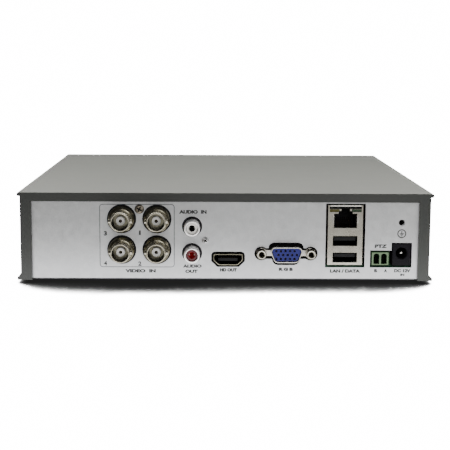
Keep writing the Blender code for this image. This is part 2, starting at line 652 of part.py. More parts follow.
def make_lan_usb():
    front, back = PANEL_Y - 0.8 * MM, PANEL_Y - 0.8 * MM - LAN_DEPTH
    half, wall = LAN_WIDTH / 2, 0.5 * MM
    outside = block((LAN_X - half, back, LAN_LOW), (LAN_X + half, front, LAN_HIGH))
    shield = make_object("lan_shield", outside, NICKEL)
    inner_low, inner_high = LAN_LOW + wall, LAN_HIGH - wall
    inside = half - wall
    cut(shield, block((LAN_X - inside, back - MM, inner_low), (LAN_X + inside, front - wall, inner_high)))
    openings = lan_openings()
    mouths = bmesh.new()
    for outline in openings:
        add_prism(mouths, outline, "Y", front - 2 * MM, front + 2 * MM)
    cut(shield, mouths)
    body = make_object("lan_insert", block((LAN_X - inside + GAP, back, inner_low + GAP),
                                           (LAN_X + inside - GAP, front - wall - GAP, inner_high - GAP)),
                       BLACK_PLASTIC)
    hollows = bmesh.new()
    add_prism(hollows, openings[0], "Y", front - 14 * MM, front + MM)
    for z in USB_Z:
        add_prism(hollows, rectangle(*around((LAN_X, z), 12.4 * MM, 5.1 * MM)), "Y",
                  front - 13 * MM, front + MM)
    cut(body, hollows)
    tongues = bmesh.new()
    for z in USB_Z:
        low, high = z, z + 1.8 * MM
        add_prism(tongues, rectangle(LAN_X - 5.5 * MM, LAN_X + 5.5 * MM, low, high), "Y",
                  front - 14 * MM, front - 1.5 * MM)
    join(body, tongues)


def lan_openings():
    """Mouths in the shield's face: the network socket with its stepped latch slot, and two USB slots."""
    low, high = 28.45 * MM, 35.75 * MM
    half, step, notch = 5.85 * MM, 3.55 * MM, 2.2 * MM
    step_top, notch_top = high + 1.4 * MM, high + 2.5 * MM
    right = [(half, low), (half, high), (step, high),
             (step, step_top), (notch, step_top), (notch, notch_top)]
    left = [(-x, z) for x, z in reversed(right)]
    mouths = [shifted(right + left, (LAN_X, 0.0))]
    mouths += [rectangle(*around((LAN_X, z), 12.4 * MM, 5.1 * MM)) for z in USB_Z]
    return mouths


def make_serial_header():
    front, back = PANEL_Y - 0.2 * MM, PANEL_Y - 9.2 * MM
    low, high = ON_BOARD, SERIAL_HIGH
    header = make_object("serial_header", block((SERIAL_X - SERIAL_WIDTH / 2, back, low),
                                                (SERIAL_X + SERIAL_WIDTH / 2, front, high)), GREEN_PLASTIC)
    cavities = bmesh.new()
    middle = (low + high) / 2
    half, tall, chamfer = 1.45 * MM, 2.65 * MM, 0.8 * MM
    cavity = [(half, -tall), (half, tall - chamfer), (half - chamfer, tall),
              (chamfer - half, tall), (-half, tall - chamfer), (-half, -tall)]
    for side in (-1, 1):
        centre = (SERIAL_X + side * 3.81 * MM / 2, middle)
        add_prism(cavities, shifted(cavity, centre), "Y", back + 2 * MM, front + MM)
    cut(header, cavities)


def make_power_jack():
    front, back = PANEL_Y - 0.4 * MM, PANEL_Y - 14.4 * MM
    centre = (JACK_X, JACK_BORE_Z)
    jack = make_object("power_jack", block((JACK_X - JACK_WIDTH / 2, back, ON_BOARD),
                                           (JACK_X + JACK_WIDTH / 2, front, JACK_HIGH)), BLACK_PLASTIC)
    bore_end = front - 9.5 * MM
    cut(jack, prism(circle(centre, 2.9 * MM, 20), "Y", bore_end, front + MM))
    tip = front - 1.0 * MM
    profile = [(0.0, bore_end + GAP), (1.0 * MM, bore_end + GAP), (1.0 * MM, tip - 0.6 * MM),
               (0.6 * MM, tip), (0.0, tip)]
    make_object("power_jack_pin", turned(profile, "Y", centre, 12), NICKEL)


def make_panel_screws():
    for name, centre, head in (("bnc", BNC_SCREW, 2.35 * MM), ("rca", RCA_SCREW, 1.7 * MM)):
        seat = PANEL_Y + 0.1 * MM
        top = seat + 1.3 * MM
        profile = [(0.0, PANEL_BACK - 6.0 * MM), (1.05 * MM, PANEL_BACK - 5.0 * MM), (1.05 * MM, seat),
                   (head, seat), (head, seat + 0.5 * MM), (head - 0.6 * MM, top), (0.0, top)]
        make_object(f"panel_screw_{name}", turned(profile, "Y", centre, 14), NICKEL)


# ---------------------------------------------------------------- electronics

def make_main_board():
    board = make_object("main_board", block((BOARD_LOW_X, BOARD_LOW_Y, BOARD_BOTTOM),
                                            (BOARD_HIGH_X, BOARD_HIGH_Y, BOARD_TOP)), BOARD_GREEN)
    x, y = COVER_BOSSES[1]
    notch = [(x - 5 * MM, y - 4.3 * MM)] + arc((x, y), 4.3 * MM, -90, 90, 8) + [(x - 5 * MM, y + 4.3 * MM)]
    holes = bmesh.new()
    add_prism(holes, notch, "Z", BOARD_BOTTOM - MM, BOARD_TOP + MM)
    for x, y in STANDOFFS:
        add_prism(holes, circle((x * MM, y * MM), 1.6 * MM, 10), "Z", BOARD_BOTTOM - MM, BOARD_TOP + MM)
    cut(board, holes)
    chip_x, chip_y, chip_top = -18.0 * MM, 46.0 * MM, ON_BOARD + 1.8 * MM
    half = 11.5 * MM
    make_object("processor_chip", block((chip_x - half, chip_y - half, ON_BOARD),
                                        (chip_x + half, chip_y + half, chip_top)), BLACK_PLASTIC)
    make_heatsink(chip_x, chip_y, chip_top + GAP)
    profile = [(0.0, ON_BOARD), (10.0 * MM, ON_BOARD), (10.0 * MM, ON_BOARD + 2.4 * MM),
               (9.4 * MM, ON_BOARD + 3.2 * MM), (0.0, ON_BOARD + 3.2 * MM)]
    make_object("coin_cell", turned(profile, "Z", (48.0 * MM, 24.0 * MM), 24), GALVANISED)


def make_heatsink(centre_x, centre_y, bottom):
    """A finned block: a comb outline swept along Y."""
    half, base, height = 18.0 * MM, 2.0 * MM, 11.0 * MM
    fins, fin_width = 8, 1.4 * MM
    pitch = (2 * half - fin_width) / (fins - 1)
    outline = [(half, 0.0)]
    for i in reversed(range(fins)):
        left = -half + i * pitch
        outline += [(left + fin_width, height), (left, height)]
        if i > 0:
            outline += [(left, base), (left - pitch + fin_width, base)]
    outline.append((-half, 0.0))
    comb = shifted(outline, (centre_x, bottom))
    make_object("heatsink", prism(comb, "Y", centre_y - half, centre_y + half), BLACK_ANODISED)


def make_front_board():
    plate = block((-91.5 * MM, FRONT_BOARD_Y, 17.0 * MM), (-62.5 * MM, FRONT_BOARD_Y + 1.2 * MM, 31.0 * MM))
    board = make_object("front_board", plate, BOARD_GREEN)
    sensor = block((-74.0 * MM, FRONT_BOARD_Y - 2.6 * MM, 21.0 * MM),
                   (-67.0 * MM, FRONT_BOARD_Y + 0.3 * MM, 27.0 * MM))
    join(board, sensor)


# ---------------------------------------------------------------- disk drive

def make_drive_base():
    body_top = DRIVE_TOP - DRIVE_LID - GAP
    outline = rounded(DRIVE_LOW_X, DRIVE_HIGH_X, DRIVE_LOW_Y, DRIVE_HIGH_Y, 3 * MM)
    base = make_object("drive_base", prism(outline, "Z", DRIVE_BOTTOM, body_top), CAST_ALUMINIUM)
    floor = DRIVE_BOTTOM + 6.0 * MM
    room = bmesh.new()
    add_prism(room, disc_room_outline(), "Z", floor, body_top + MM)
    cut(base, room)
    posts = bmesh.new()
    add_turned(posts, [(0.0, floor - MM), (10.5 * MM, floor - MM), (10.5 * MM, PLATTER_BOTTOM - 1.3 * MM),
                       (2.7 * MM, PLATTER_BOTTOM - 1.3 * MM), (2.7 * MM, PLATTER_BOTTOM + 2.6 * MM),
                       (0.0, PLATTER_BOTTOM + 2.6 * MM)], "Z", SPINDLE, 20)
    add_turned(posts, [(0.0, floor - MM), (2.2 * MM, floor - MM), (2.2 * MM, PLATTER_BOTTOM + 6 * MM),
                       (0.0, PLATTER_BOTTOM + 6 * MM)], "Z", PIVOT, 12)
    join(base, posts)
    cut(base, block((DRIVE_LOW_X + 9 * MM, DRIVE_LOW_Y + 7 * MM, DRIVE_BOTTOM - MM),
                    (DRIVE_LOW_X + 90 * MM, DRIVE_HIGH_Y - 7 * MM, DRIVE_BOTTOM + 3.0 * MM)))
    cut(base, block((DRIVE_LOW_X - MM, -67.0 * MM, DRIVE_BOTTOM - MM),
                    (DRIVE_LOW_X + 10 * MM, -20.0 * MM, DRIVE_BOTTOM + 3.0 * MM)))


def disc_room_outline():
    """Inside of the drive: a round room for the disc, open to a square one for the arm."""
    radius = PLATTER_RADIUS + 0.7 * MM
    low_x, wall = DRIVE_LOW_X + DRIVE_WALL, DRIVE_WALL
    low_y, high_y = DRIVE_LOW_Y + wall, DRIVE_HIGH_Y - wall
    half_turn = arc(SPINDLE, radius, -90, 90, 24)
    return [(low_x, low_y)] + half_turn + [(low_x, high_y)]


def make_drive_board():
    top = DRIVE_BOTTOM + 2.4 * MM
    plate = block((DRIVE_LOW_X + 9.5 * MM, DRIVE_LOW_Y + 7.5 * MM, top - 1.4 * MM),
                  (DRIVE_LOW_X + 89 * MM, DRIVE_HIGH_Y - 7.5 * MM, top))
    board = make_object("drive_board", plate, BOARD_GREEN)
    join(board, block((DRIVE_LOW_X, -66.0 * MM, DRIVE_BOTTOM + 0.2 * MM),
                      (DRIVE_LOW_X + 12 * MM, -21.0 * MM, DRIVE_BOTTOM + 2.6 * MM)))


def make_drive_lid():
    low = DRIVE_TOP - DRIVE_LID
    centre = ((DRIVE_LOW_X + DRIVE_HIGH_X) / 2, DRIVE_Y)
    width = DRIVE_HIGH_X - DRIVE_LOW_X - 0.4 * MM
    length = DRIVE_HIGH_Y - DRIVE_LOW_Y - 0.4 * MM
    outline = rounded(*around(centre, width, length), 3 * MM)
    lid = make_object("drive_lid", prism(outline, "Z", low, DRIVE_TOP - MM), GALVANISED)
    join(lid, prism(circle(SPINDLE, PLATTER_RADIUS - 4 * MM, 32), "Z", low + MM, DRIVE_TOP))


def make_platter():
    """The disc and its clamp, turned about the spindle."""
    low, high = PLATTER_BOTTOM, PLATTER_BOTTOM + PLATTER_THICK
    hub_low, hub_high = low - 0.9 * MM, high + 2.2 * MM
    bore, hub = 3.0 * MM, 12.5 * MM
    profile = [(bore, hub_low), (hub, hub_low), (hub, low), (PLATTER_RADIUS, low), (PLATTER_RADIUS, high),
               (hub, high), (hub, hub_high - 0.6 * MM), (hub - 0.6 * MM, hub_high), (bore, hub_high)]
    make_object("drive_platter", turned(profile, "Z", (0.0, 0.0), 48), POLISHED_DISC, (*SPINDLE, 0.0))


def make_head_arm():
    """The arm with its hub and coil, built along +X about the pivot and turned to its parked place."""
    low = PLATTER_BOTTOM + PLATTER_THICK + 0.9 * MM
    high = low + ARM_THICK
    turn = math.radians(ARM_REST_DEG)
    arm_line = [(-COIL_RADIUS + 1 * MM, -8.0 * MM), (-6.0 * MM, -4.5 * MM), (5.0 * MM, -5.0 * MM),
                (ARM_LENGTH - 8 * MM, -1.8 * MM), (ARM_LENGTH, -1.0 * MM), (ARM_LENGTH, 1.0 * MM),
                (ARM_LENGTH - 8 * MM, 1.8 * MM), (5.0 * MM, 5.0 * MM), (-6.0 * MM, 4.5 * MM),
                (-COIL_RADIUS + 1 * MM, 8.0 * MM)]
    arm = make_object("drive_head_arm", prism(arm_line, "Z", low, high), CAST_ALUMINIUM)
    hub_low, hub_high, hub_radius = low - 3.0 * MM, high + 1.2 * MM, 6.5 * MM
    join(arm, prism(circle((0.0, 0.0), hub_radius, 20), "Z", hub_low, hub_high))
    cut(arm, prism(circle((0.0, 0.0), 2.5 * MM, 12), "Z", hub_low - MM, hub_high + MM))
    arm.location = (*PIVOT, 0.0)
    arm.rotation_euler = (0.0, 0.0, turn)


def make_magnet():
    """Upper plate of the coil's magnet: a sector round the pivot, above the coil."""
    low = PLATTER_BOTTOM + PLATTER_THICK + 0.9 * MM + ARM_THICK + 0.8 * MM
    start, end = 210.0, 282.0
    sector = arc(PIVOT, 21.0 * MM, start, end, 8) + arc(PIVOT, 9.0 * MM, end, start, 6)
    make_object("drive_magnet", prism(sector, "Z", low, low + 2.6 * MM), NICKEL)


# ---------------------------------------------------------------- wiring

def make_wiring():
    plug_low = DRIVE_BOTTOM + 0.2 * MM
    plug_face = DRIVE_LOW_X - GAP
    for name, low_y, high_y, look in (("data_plug_drive", -36.0 * MM, -24.0 * MM, BLACK_PLASTIC),
                                      ("power_plug_drive", -63.0 * MM, -42.0 * MM, WHITE_PLASTIC)):
        make_object(name, block((plug_face - 11 * MM, low_y, plug_low),
                                (plug_face, high_y, plug_low + 5.5 * MM)), look)
    for name, low_x, high_x, look in (("data_plug_board", -77.0 * MM, -65.0 * MM, BLACK_PLASTIC),
                                      ("power_plug_board", -92.0 * MM, -80.0 * MM, WHITE_PLASTIC)):
        make_object(name, block((low_x, BOARD_LOW_Y + 1.0 * MM, ON_BOARD),
                                (high_x, BOARD_LOW_Y + 10 * MM, ON_BOARD + 6.5 * MM)), look)
    data_stops = [(-71.6, -30.0, 8.0), (-75.5, -29.6, 7.4), (-79.0, -25.5, 6.2), (-79.5, -18.0, 6.0),
                  (-76.5, -9.0, 8.0), (-72.0, -1.0, 11.6), (-71.0, 6.4, 12.6)]
    power_stops = [(-71.6, -52.5, 8.0), (-77.0, -52.3, 7.2), (-83.5, -49.0, 6.5), (-87.0, -41.0, 6.5),
                   (-87.5, -26.0, 6.5), (-87.0, -12.0, 8.0), (-86.2, -1.5, 11.8), (-86.0, 6.3, 12.6)]
    front_stops = [(-84.0, -97.6, 20.0), (-84.4, -94.0, 18.6), (-88.5, -86.0, 9.0), (-93.5, -76.0, 5.8),
                   (-96.0, -60.0, 5.6), (-96.2, -30.0, 5.6), (-95.6, -8.0, 7.0), (-94.4, 2.0, 10.6),
                   (-93.6, 12.0, 10.8)]
    make_cable("data_cable", data_stops, 1.6 * MM, RED_CABLE)
    make_cable("power_cable", power_stops, 2.0 * MM, GREY_CABLE)
    make_cable("front_cable", front_stops, 1.2 * MM, GREY_CABLE)


def main():
    clear_scene()
    make_cover()
    make_chassis()
    make_bezel()
    make_feet()
    make_cover_screws()
    make_video_sockets()
    make_audio_sockets()
    make_hd_socket()
    make_dsub()
    make_lan_usb()
    make_serial_header()
    make_power_jack()
    make_panel_screws()
    make_main_board()
    make_front_board()
    make_drive_base()
    make_drive_board()
    make_drive_lid()
    make_platter()
    make_head_arm()
    make_magnet()
    make_wiring()


main()
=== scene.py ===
"""Looks of the four-channel video recorder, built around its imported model.

Everything stands in the model's own frame: +Z up, the rear panel faces +Y. Shapes, the camera's place and
the sizes of textures are in millimetres. The floor and the lights are in metres.
"""

import math
import random
from collections import namedtuple

import bmesh
import bpy
from mathutils import Matrix, Vector


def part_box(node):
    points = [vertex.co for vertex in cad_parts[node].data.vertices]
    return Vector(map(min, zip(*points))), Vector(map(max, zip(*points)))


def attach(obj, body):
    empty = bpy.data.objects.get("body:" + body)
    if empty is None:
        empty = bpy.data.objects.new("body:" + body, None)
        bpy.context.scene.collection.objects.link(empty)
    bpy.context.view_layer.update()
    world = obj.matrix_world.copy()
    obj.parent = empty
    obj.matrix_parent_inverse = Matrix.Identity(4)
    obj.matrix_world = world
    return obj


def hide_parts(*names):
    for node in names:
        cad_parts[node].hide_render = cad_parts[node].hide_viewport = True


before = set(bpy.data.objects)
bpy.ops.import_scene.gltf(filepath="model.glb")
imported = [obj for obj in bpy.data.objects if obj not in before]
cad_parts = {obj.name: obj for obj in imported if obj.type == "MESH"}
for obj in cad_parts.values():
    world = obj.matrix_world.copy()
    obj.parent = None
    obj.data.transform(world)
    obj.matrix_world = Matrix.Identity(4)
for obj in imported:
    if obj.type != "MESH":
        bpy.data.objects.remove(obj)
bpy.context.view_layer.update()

MM = 0.001
Corner = namedtuple("Corner", "x y z")


def box(node):
    """Low and high corners of a CAD node."""
    return [Corner(*(value / MM for value in corner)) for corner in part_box(node)]


def located(node, axis):
    """Low and high corners of a CAD node, and its centre as seen along an axis."""
    low, high = box(node)
    middle = [(a + b) / 2 for a, b in zip(low, high)]
    del middle["XYZ".index(axis)]
    return low, high, tuple(middle)


PANEL_Y = box("chassis")[1].y
RIM_Y = box("top_cover")[1].y
CASE_BOTTOM = box("chassis")[0].z
BOARD_TOP = box("main_board")[1].z
SHEET = 1.0

# Light, in scene units of radiance
ROOM = 0.065
KEY = 11.0
GLOW = 2.6
SIDE = 2.0
FILL = 5.0
BACKDROP = 16.0
FLOOR_SHADE = 0.35
# Painted shadow on the floor: how dark it starts, where it ends, how far it reaches and how sharply it
# fades.
SHADOW_DARKEST, SHADOW_END, SHADOW_REACH, SHADOW_CURVE = 0.15, 0.59, 50 * MM, 2.8
SHADOW_LEAN = math.radians(45)
DARKEST_STOP = -5.8
SHADOW_SIDES = 98 * MM, 107 * MM


# ---------------------------------------------------------------- mesh tools

def place(axis, along, a, b):
    """The point, in metres, that is so far along one axis, with a and b on the other two in order."""
    point = {"X": (along, a, b), "Y": (a, along, b), "Z": (a, b, along)}[axis]
    return [value * MM for value in point]


def add_prism(bm, outline, axis, start, end):
    near = [bm.verts.new(place(axis, start, a, b)) for a, b in outline]
    far = [bm.verts.new(place(axis, end, a, b)) for a, b in outline]
    bm.faces.new(near)
    bm.faces.new(far[::-1])
    for i in range(len(outline)):
        bm.faces.new((near[i - 1], near[i], far[i], far[i - 1]))


def add_block(bm, low, high):
    add_prism(bm, rectangle(low[0], high[0], low[1], high[1]), "Z", low[2], high[2])


def add_turned(bm, profile, axis, centre, steps):
    """Adds a solid of revolution. Its (radius, along) points run from axis to axis, or in a closed loop."""
    rings = []
    for radius, along in profile:
        if radius == 0.0:
            rings.append([bm.verts.new(place(axis, along, *centre))])
            continue
        outline = circle(centre, radius, steps)
        rings.append([bm.verts.new(place(axis, along, a, b)) for a, b in outline])
    pairs = list(zip(rings, rings[1:]))
    if profile[0][0] > 0.0:
        pairs.append((rings[-1], rings[0]))
    for first, second in pairs:
        for i in range(steps):
            near = first if len(first) == 1 else [first[i - 1], first[i]]
            far = second if len(second) == 1 else [second[i], second[i - 1]]
            bm.faces.new(near + far)


def prism(outline, axis, start, end):
    bm = bmesh.new()
    add_prism(bm, outline, axis, start, end)
    return bm


def turned(profile, axis, centre, steps):
    bm = bmesh.new()
    add_turned(bm, profile, axis, centre, steps)
    return bm


def block(low, high):
    bm = bmesh.new()
    add_block(bm, low, high)
    return bm


def arc(centre, radius, start_deg, end_deg, steps):
    points = []
    for i in range(steps + 1):
        turn = math.radians(start_deg + (end_deg - start_deg) * i / steps)
        points.append((centre[0] + radius * math.cos(turn), centre[1] + radius * math.sin(turn)))
    return points


def circle(centre, radius, steps):
    return arc(centre, radius, 0, 360, steps)[:-1]


def rectangle(low_a, high_a, low_b, high_b):
    return [(low_a, low_b), (high_a, low_b), (high_a, high_b), (low_a, high_b)]


def around(centre, width, height):
    """Low and high limits of a rectangle about a centre."""
    return centre[0] - width / 2, centre[0] + width / 2, centre[1] - height / 2, centre[1] + height / 2


def rounded(low_a, high_a, low_b, high_b, radius, steps=4):
    points = arc((high_a - radius, low_b + radius), radius, -90, 0, steps)
    points += arc((high_a - radius, high_b - radius), radius, 0, 90, steps)
    points += arc((low_a + radius, high_b - radius), radius, 90, 180, steps)
    points += arc((low_a + radius, low_b + radius), radius, 180, 270, steps)
    return points


def cross(arm, half):
    """A plus sign: arms that reach so far, and half their width."""
    quarter = [(arm, -half), (arm, half), (half, half)]
    points = []
    for _ in range(4):
        points += quarter
        quarter = [(-b, a) for a, b in quarter]
    return points


def shifted(outline, centre):
    return [(centre[0] + a, centre[1] + b) for a, b in outline]


def smooth(mesh, angle=35.0):
    mesh.shade_smooth()
    mesh.set_sharp_from_angle(angle=math.radians(angle))


def make_object(name, bm):
    bmesh.ops.recalc_face_normals(bm, faces=bm.faces)
    mesh = bpy.data.meshes.new(name)
    bm.to_mesh(mesh)
    bm.free()
    obj = bpy.data.objects.new(name, mesh)
    bpy.context.scene.collection.objects.link(obj)
    return obj


def bake(obj):
    """Replaces an object's mesh with the result of its modifiers."""
    depsgraph = bpy.context.evaluated_depsgraph_get()
    result = bpy.data.meshes.new_from_object(obj.evaluated_get(depsgraph))
    obj.modifiers.clear()
    obj.data = result


def combine(target, tool_bm, operation):
    tool = make_object("tool", tool_bm)
    modifier = target.modifiers.new("combine", "BOOLEAN")
    modifier.operation = operation
    modifier.solver = "EXACT"
    modifier.object = tool
    bake(target)
    bpy.data.objects.remove(tool, do_unlink=True)


def cut(target, tool_bm):
    combine(target, tool_bm, "DIFFERENCE")


def join(target, tool_bm):
    combine(target, tool_bm, "UNION")


def bevel(obj, width, angle):
    modifier = obj.modifiers.new("bevel", "BEVEL")
    modifier.width = width * MM
    modifier.segments = 2
    modifier.limit_method = "ANGLE"
    modifier.angle_limit = math.radians(angle)
    bake(obj)


def weight_normals(obj):
    """Keeps large flat faces flat in shading, beside their eased edges."""
    modifier = obj.modifiers.new("normals", "WEIGHTED_NORMAL")
    modifier.weight = 100
    modifier.keep_sharp = True
    bake(obj)


def dress(obj, finish, slot, body="case", replaces=(), edge=0.0, angle=40.0):
    """Finishes a piece: eased edges, smooth shading, its finish, and the body that it rides on."""
    if edge:
        bevel(obj, edge, angle)
    obj.data.materials.clear()
    obj.data.materials.append(finish)
    smooth(obj.data, angle)
    if edge:
        weight_normals(obj)
    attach(obj, body)
    if replaces:
        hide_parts(*replaces)
    return obj


def add_piece(name, bm, finish, slot, **options):
    """Makes an object of the mesh, and dresses it."""
    return dress(make_object(name, bm), finish, slot, **options)


def copy_node(node, name):
    """A new object with a CAD node's shape, its flat faces made whole again so that edges can be eased."""
    bm = bmesh.new()
    bm.from_mesh(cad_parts[node].data)
    bmesh.ops.remove_doubles(bm, verts=bm.verts, dist=0.002 * MM)
    bmesh.ops.dissolve_limit(bm, angle_limit=math.radians(0.5), verts=bm.verts, edges=bm.edges)
    return make_object(name, bm)


def refine(node, finish, slot, edge=0.15, body="case", angle=40.0):
    obj = copy_node(node, node + "_fine")
    return dress(obj, finish, slot, body, (node,), edge, angle)


# ---------------------------------------------------------------- finishes

class Finish:
    """Builds one procedural material. Texture sizes are given in millimetres."""

    def __init__(self, name, colour, roughness, metallic=0.0):
        self.material = bpy.data.materials.new(name)
        self.material.use_nodes = True
        self.nodes = self.material.node_tree.nodes
        self.links = self.material.node_tree.links
        self.shader = self.nodes["Principled BSDF"]
        self.colour = (*colour, 1.0)
        self.roughness = roughness
        self.shader.inputs["Base Color"].default_value = self.colour
        self.shader.inputs["Roughness"].default_value = roughness
        self.shader.inputs["Metallic"].default_value = metallic
        self.coords = self.nodes.new("ShaderNodeTexCoord").outputs["Object"]
        self.colour_out = None
        self.normal_out = None

    def stretched(self, stretch):
        mapping = self.nodes.new("ShaderNodeMapping")
        mapping.inputs["Scale"].default_value = stretch
        self.links.new(self.coords, mapping.inputs["Vector"])
        return mapping.outputs["Vector"]

    def noise(self, size_mm, detail=3.0, stretch=None, rough=0.55):
        node = self.nodes.new("ShaderNodeTexNoise")
        node.inputs["Scale"].default_value = 1.0 / (size_mm * MM)
        node.inputs["Detail"].default_value = detail
        node.inputs["Roughness"].default_value = rough
        self.links.new(self.stretched(stretch) if stretch else self.coords, node.inputs["Vector"])
        return node.outputs["Fac"]

    def cells(self, size_mm, feature="F1", output="Color", stretch=None):
        node = self.nodes.new("ShaderNodeTexVoronoi")
        node.feature = feature
        node.inputs["Scale"].default_value = 1.0 / (size_mm * MM)
        self.links.new(self.stretched(stretch) if stretch else self.coords, node.inputs["Vector"])
        return node.outputs[output]

    def math(self, operation, *values):
        """A Math node's result. Each value is a number, or another node's output."""
        node = self.nodes.new("ShaderNodeMath")
        node.operation = operation
        for value, entry in zip(values, node.inputs):
            if isinstance(value, float):
                entry.default_value = value
            else:
                self.links.new(value, entry)
        return node.outputs["Value"]

    def ranged(self, value, low, high, from_low=0.3, from_high=0.7, interpolation="LINEAR"):
        node = self.nodes.new("ShaderNodeMapRange")
        node.interpolation_type = interpolation
        node.inputs["From Min"].default_value = from_low
        node.inputs["From Max"].default_value = from_high
        node.inputs["To Min"].default_value = low
        node.inputs["To Max"].default_value = high
        self.links.new(value, node.inputs["Value"])
        return node.outputs["Result"]

    def tint(self, factor, other, low=0.0, high=1.0):
        """Blends the colour so far towards another where the factor is high."""
        mix = self.nodes.new("ShaderNodeMix")
        mix.data_type = "RGBA"
        self.links.new(self.ranged(factor, low, high), mix.inputs["Factor"])
        if self.colour_out is None:
            mix.inputs["A"].default_value = self.colour
        else:
            self.links.new(self.colour_out, mix.inputs["A"])
        mix.inputs["B"].default_value = (*other, 1.0)
        self.colour_out = mix.outputs["Result"]
        self.links.new(self.colour_out, self.shader.inputs["Base Color"])
        return self

    def vary_roughness(self, factor, spread):
        out = self.ranged(factor, self.roughness - spread, self.roughness + spread)
        self.links.new(out, self.shader.inputs["Roughness"])
        return self

    def bump(self, height, depth_mm, strength=1.0):
        node = self.nodes.new("ShaderNodeBump")
        node.inputs["Distance"].default_value = depth_mm * MM
        node.inputs["Strength"].default_value = strength
        self.links.new(height, node.inputs["Height"])
        if self.normal_out is not None:
            self.links.new(self.normal_out, node.inputs["Normal"])
        self.normal_out = node.outputs["Normal"]
        self.links.new(self.normal_out, self.shader.inputs["Normal"])
        return self

    def set(self, **values):
        for name, value in values.items():
            self.shader.inputs[name.replace("_", " ")].default_value = value
        return self


def moulded(name, colour, roughness, lighter, grain_mm=0.35, depth_mm=0.012, shine=0.5):
    """Moulded plastic: fine spark-eroded grain, slight flow marks and uneven gloss."""
    finish = Finish(name, colour, roughness)
    finish.set(Specular_IOR_Level=shine)
    finish.tint(finish.noise(9.0, 4.0), lighter, 0.0, 0.5)
    finish.vary_roughness(finish.noise(14.0, 4.0), 0.05)
    finish.bump(finish.noise(grain_mm, 2.0), depth_mm)
    return finish.material


def metal(name, colour, roughness, darker, grain_mm=0.8, depth_mm=0.004, stretch=(1.0, 1.0, 1.0)):
    """Plated or rolled metal: soft tarnish, uneven polish and fine drawing lines."""
    finish = Finish(name, colour, roughness, 1.0)
    finish.tint(finish.noise(4.0, 4.0), darker, 0.0, 0.6)
    finish.vary_roughness(finish.noise(2.0, 3.0), 0.06)
    finish.bump(finish.noise(grain_mm, 3.0, stretch), depth_mm)
    return finish.material


def galvanised(name):
    """Zinc-coated sheet: faint crystal spangle over rolling lines."""
    finish = Finish(name, (0.56, 0.565, 0.575), 0.42, 1.0)
    finish.tint(finish.cells(2.6), (0.49, 0.495, 0.51), 0.0, 0.55)
    finish.tint(finish.noise(0.7, 4.0), (0.64, 0.64, 0.645), 0.0, 0.35)
    finish.tint(finish.noise(60.0, 2.0), (0.50, 0.505, 0.52), 0.0, 0.35)
    finish.vary_roughness(finish.noise(3.0, 3.0), 0.05)
    finish.bump(finish.noise(0.6, 3.0, (0.25, 1.0, 1.0)), 0.006)
    return finish.material


def cover_plastic(name):
    finish = Finish(name, (0.024, 0.026, 0.024), 0.44)
    finish.tint(finish.noise(40.0, 3.0), (0.029, 0.031, 0.028), 0.0, 0.8)
    finish.tint(finish.noise(2.2, 5.0), (0.028, 0.030, 0.027), 0.0, 0.5)
    finish.vary_roughness(finish.noise(25.0, 5.0), 0.010)
    finish.bump(finish.cells(0.75, "SMOOTH_F1", "Distance"), 0.010, 0.5)
    finish.bump(finish.noise(0.35, 2.0), 0.008, 0.5)
    return finish.material


def circuit_board(name):
    """Green solder mask over copper: lighter track lines on a square grid, and fine weave."""
    finish = Finish(name, (0.010, 0.085, 0.040), 0.36)
    brick = finish.nodes.new("ShaderNodeTexBrick")
    brick.inputs["Scale"].default_value = 1.0 / (9.0 * MM)
    brick.inputs["Mortar Size"].default_value = 0.035
    brick.inputs["Mortar Smooth"].default_value = 0.1
    finish.links.new(finish.coords, brick.inputs["Vector"])
    finish.tint(brick.outputs["Fac"], (0.020, 0.17, 0.075), 0.0, 1.0)
    finish.tint(finish.cells(3.2, "DISTANCE_TO_EDGE", "Distance"), (0.007, 0.060, 0.030), 0.0, 0.6)
    finish.vary_roughness(finish.noise(6.0, 3.0), 0.05)
    finish.bump(brick.outputs["Fac"], 0.02, 0.4)
    return finish.material


def clear_plastic(name, colour, transmission, roughness=0.12):
    finish = Finish(name, colour, roughness)
    finish.set(Transmission_Weight=transmission, IOR=1.49)
    finish.tint(finish.noise(3.0, 3.0), tuple(c * 0.8 for c in colour), 0.0, 0.4)
    finish.bump(finish.noise(1.5, 2.0), 0.004)
    return finish.material


def printed(name, colour):
    """Screen-printed ink: slightly uneven coverage."""
    finish = Finish(name, colour, 0.55)
    finish.tint(finish.noise(0.4, 3.0), tuple(min(1.0, c * 1.6 + 0.03) for c in colour), 0.0, 0.45)
    finish.bump(finish.noise(0.25, 2.0), 0.004)
    return finish.material


COVER = cover_plastic("cover plastic")
STEEL = galvanised("galvanised steel")
NICKEL = metal("warm nickel", (0.62, 0.59, 0.53), 0.24, (0.40, 0.37, 0.31))
BARREL_NICKEL = metal("barrel nickel", (0.46, 0.43, 0.36), 0.20, (0.26, 0.24, 0.18))
# Painted shade: a darkened copy of the nickel, for socket parts that sit in shade.
NICKEL_WITH_PAINTED_SHADE = metal("nickel with painted shade", (0.33, 0.31, 0.24), 0.20, (0.15, 0.14, 0.10), 0.5, 0.01)
# Painted shade: a near-black metal put in recesses, throats, bores and cavities where shade falls.
PAINTED_SHADE_METAL = metal("painted shade metal", (0.018, 0.016, 0.013), 0.55, (0.009, 0.008, 0.007))
BRIGHT = metal("bright nickel", (0.72, 0.70, 0.66), 0.22, (0.55, 0.52, 0.48))
PALE_TIN = metal("bright tin", (0.95, 0.93, 0.92), 0.42, (0.84, 0.82, 0.80))
CREAM = metal("pale tin", (0.74, 0.71, 0.66), 0.34, (0.62, 0.58, 0.52))
ZINC = metal("zinc plate", (0.50, 0.50, 0.50), 0.32, (0.36, 0.36, 0.36))
BRONZE = metal("passivated screw", (0.30, 0.265, 0.21), 0.38, (0.18, 0.155, 0.12))
STONE = moulded("ceramic brown", (0.30, 0.20, 0.13), 0.5, (0.22, 0.14, 0.09), 0.2, 0.004)
PAPER = moulded("label paper", (0.72, 0.72, 0.70), 0.6, (0.66, 0.66, 0.65), 0.3, 0.003)
TIN_BROWN = metal("dull bronze contacts", (0.16, 0.11, 0.06), 0.45, (0.08, 0.055, 0.03))
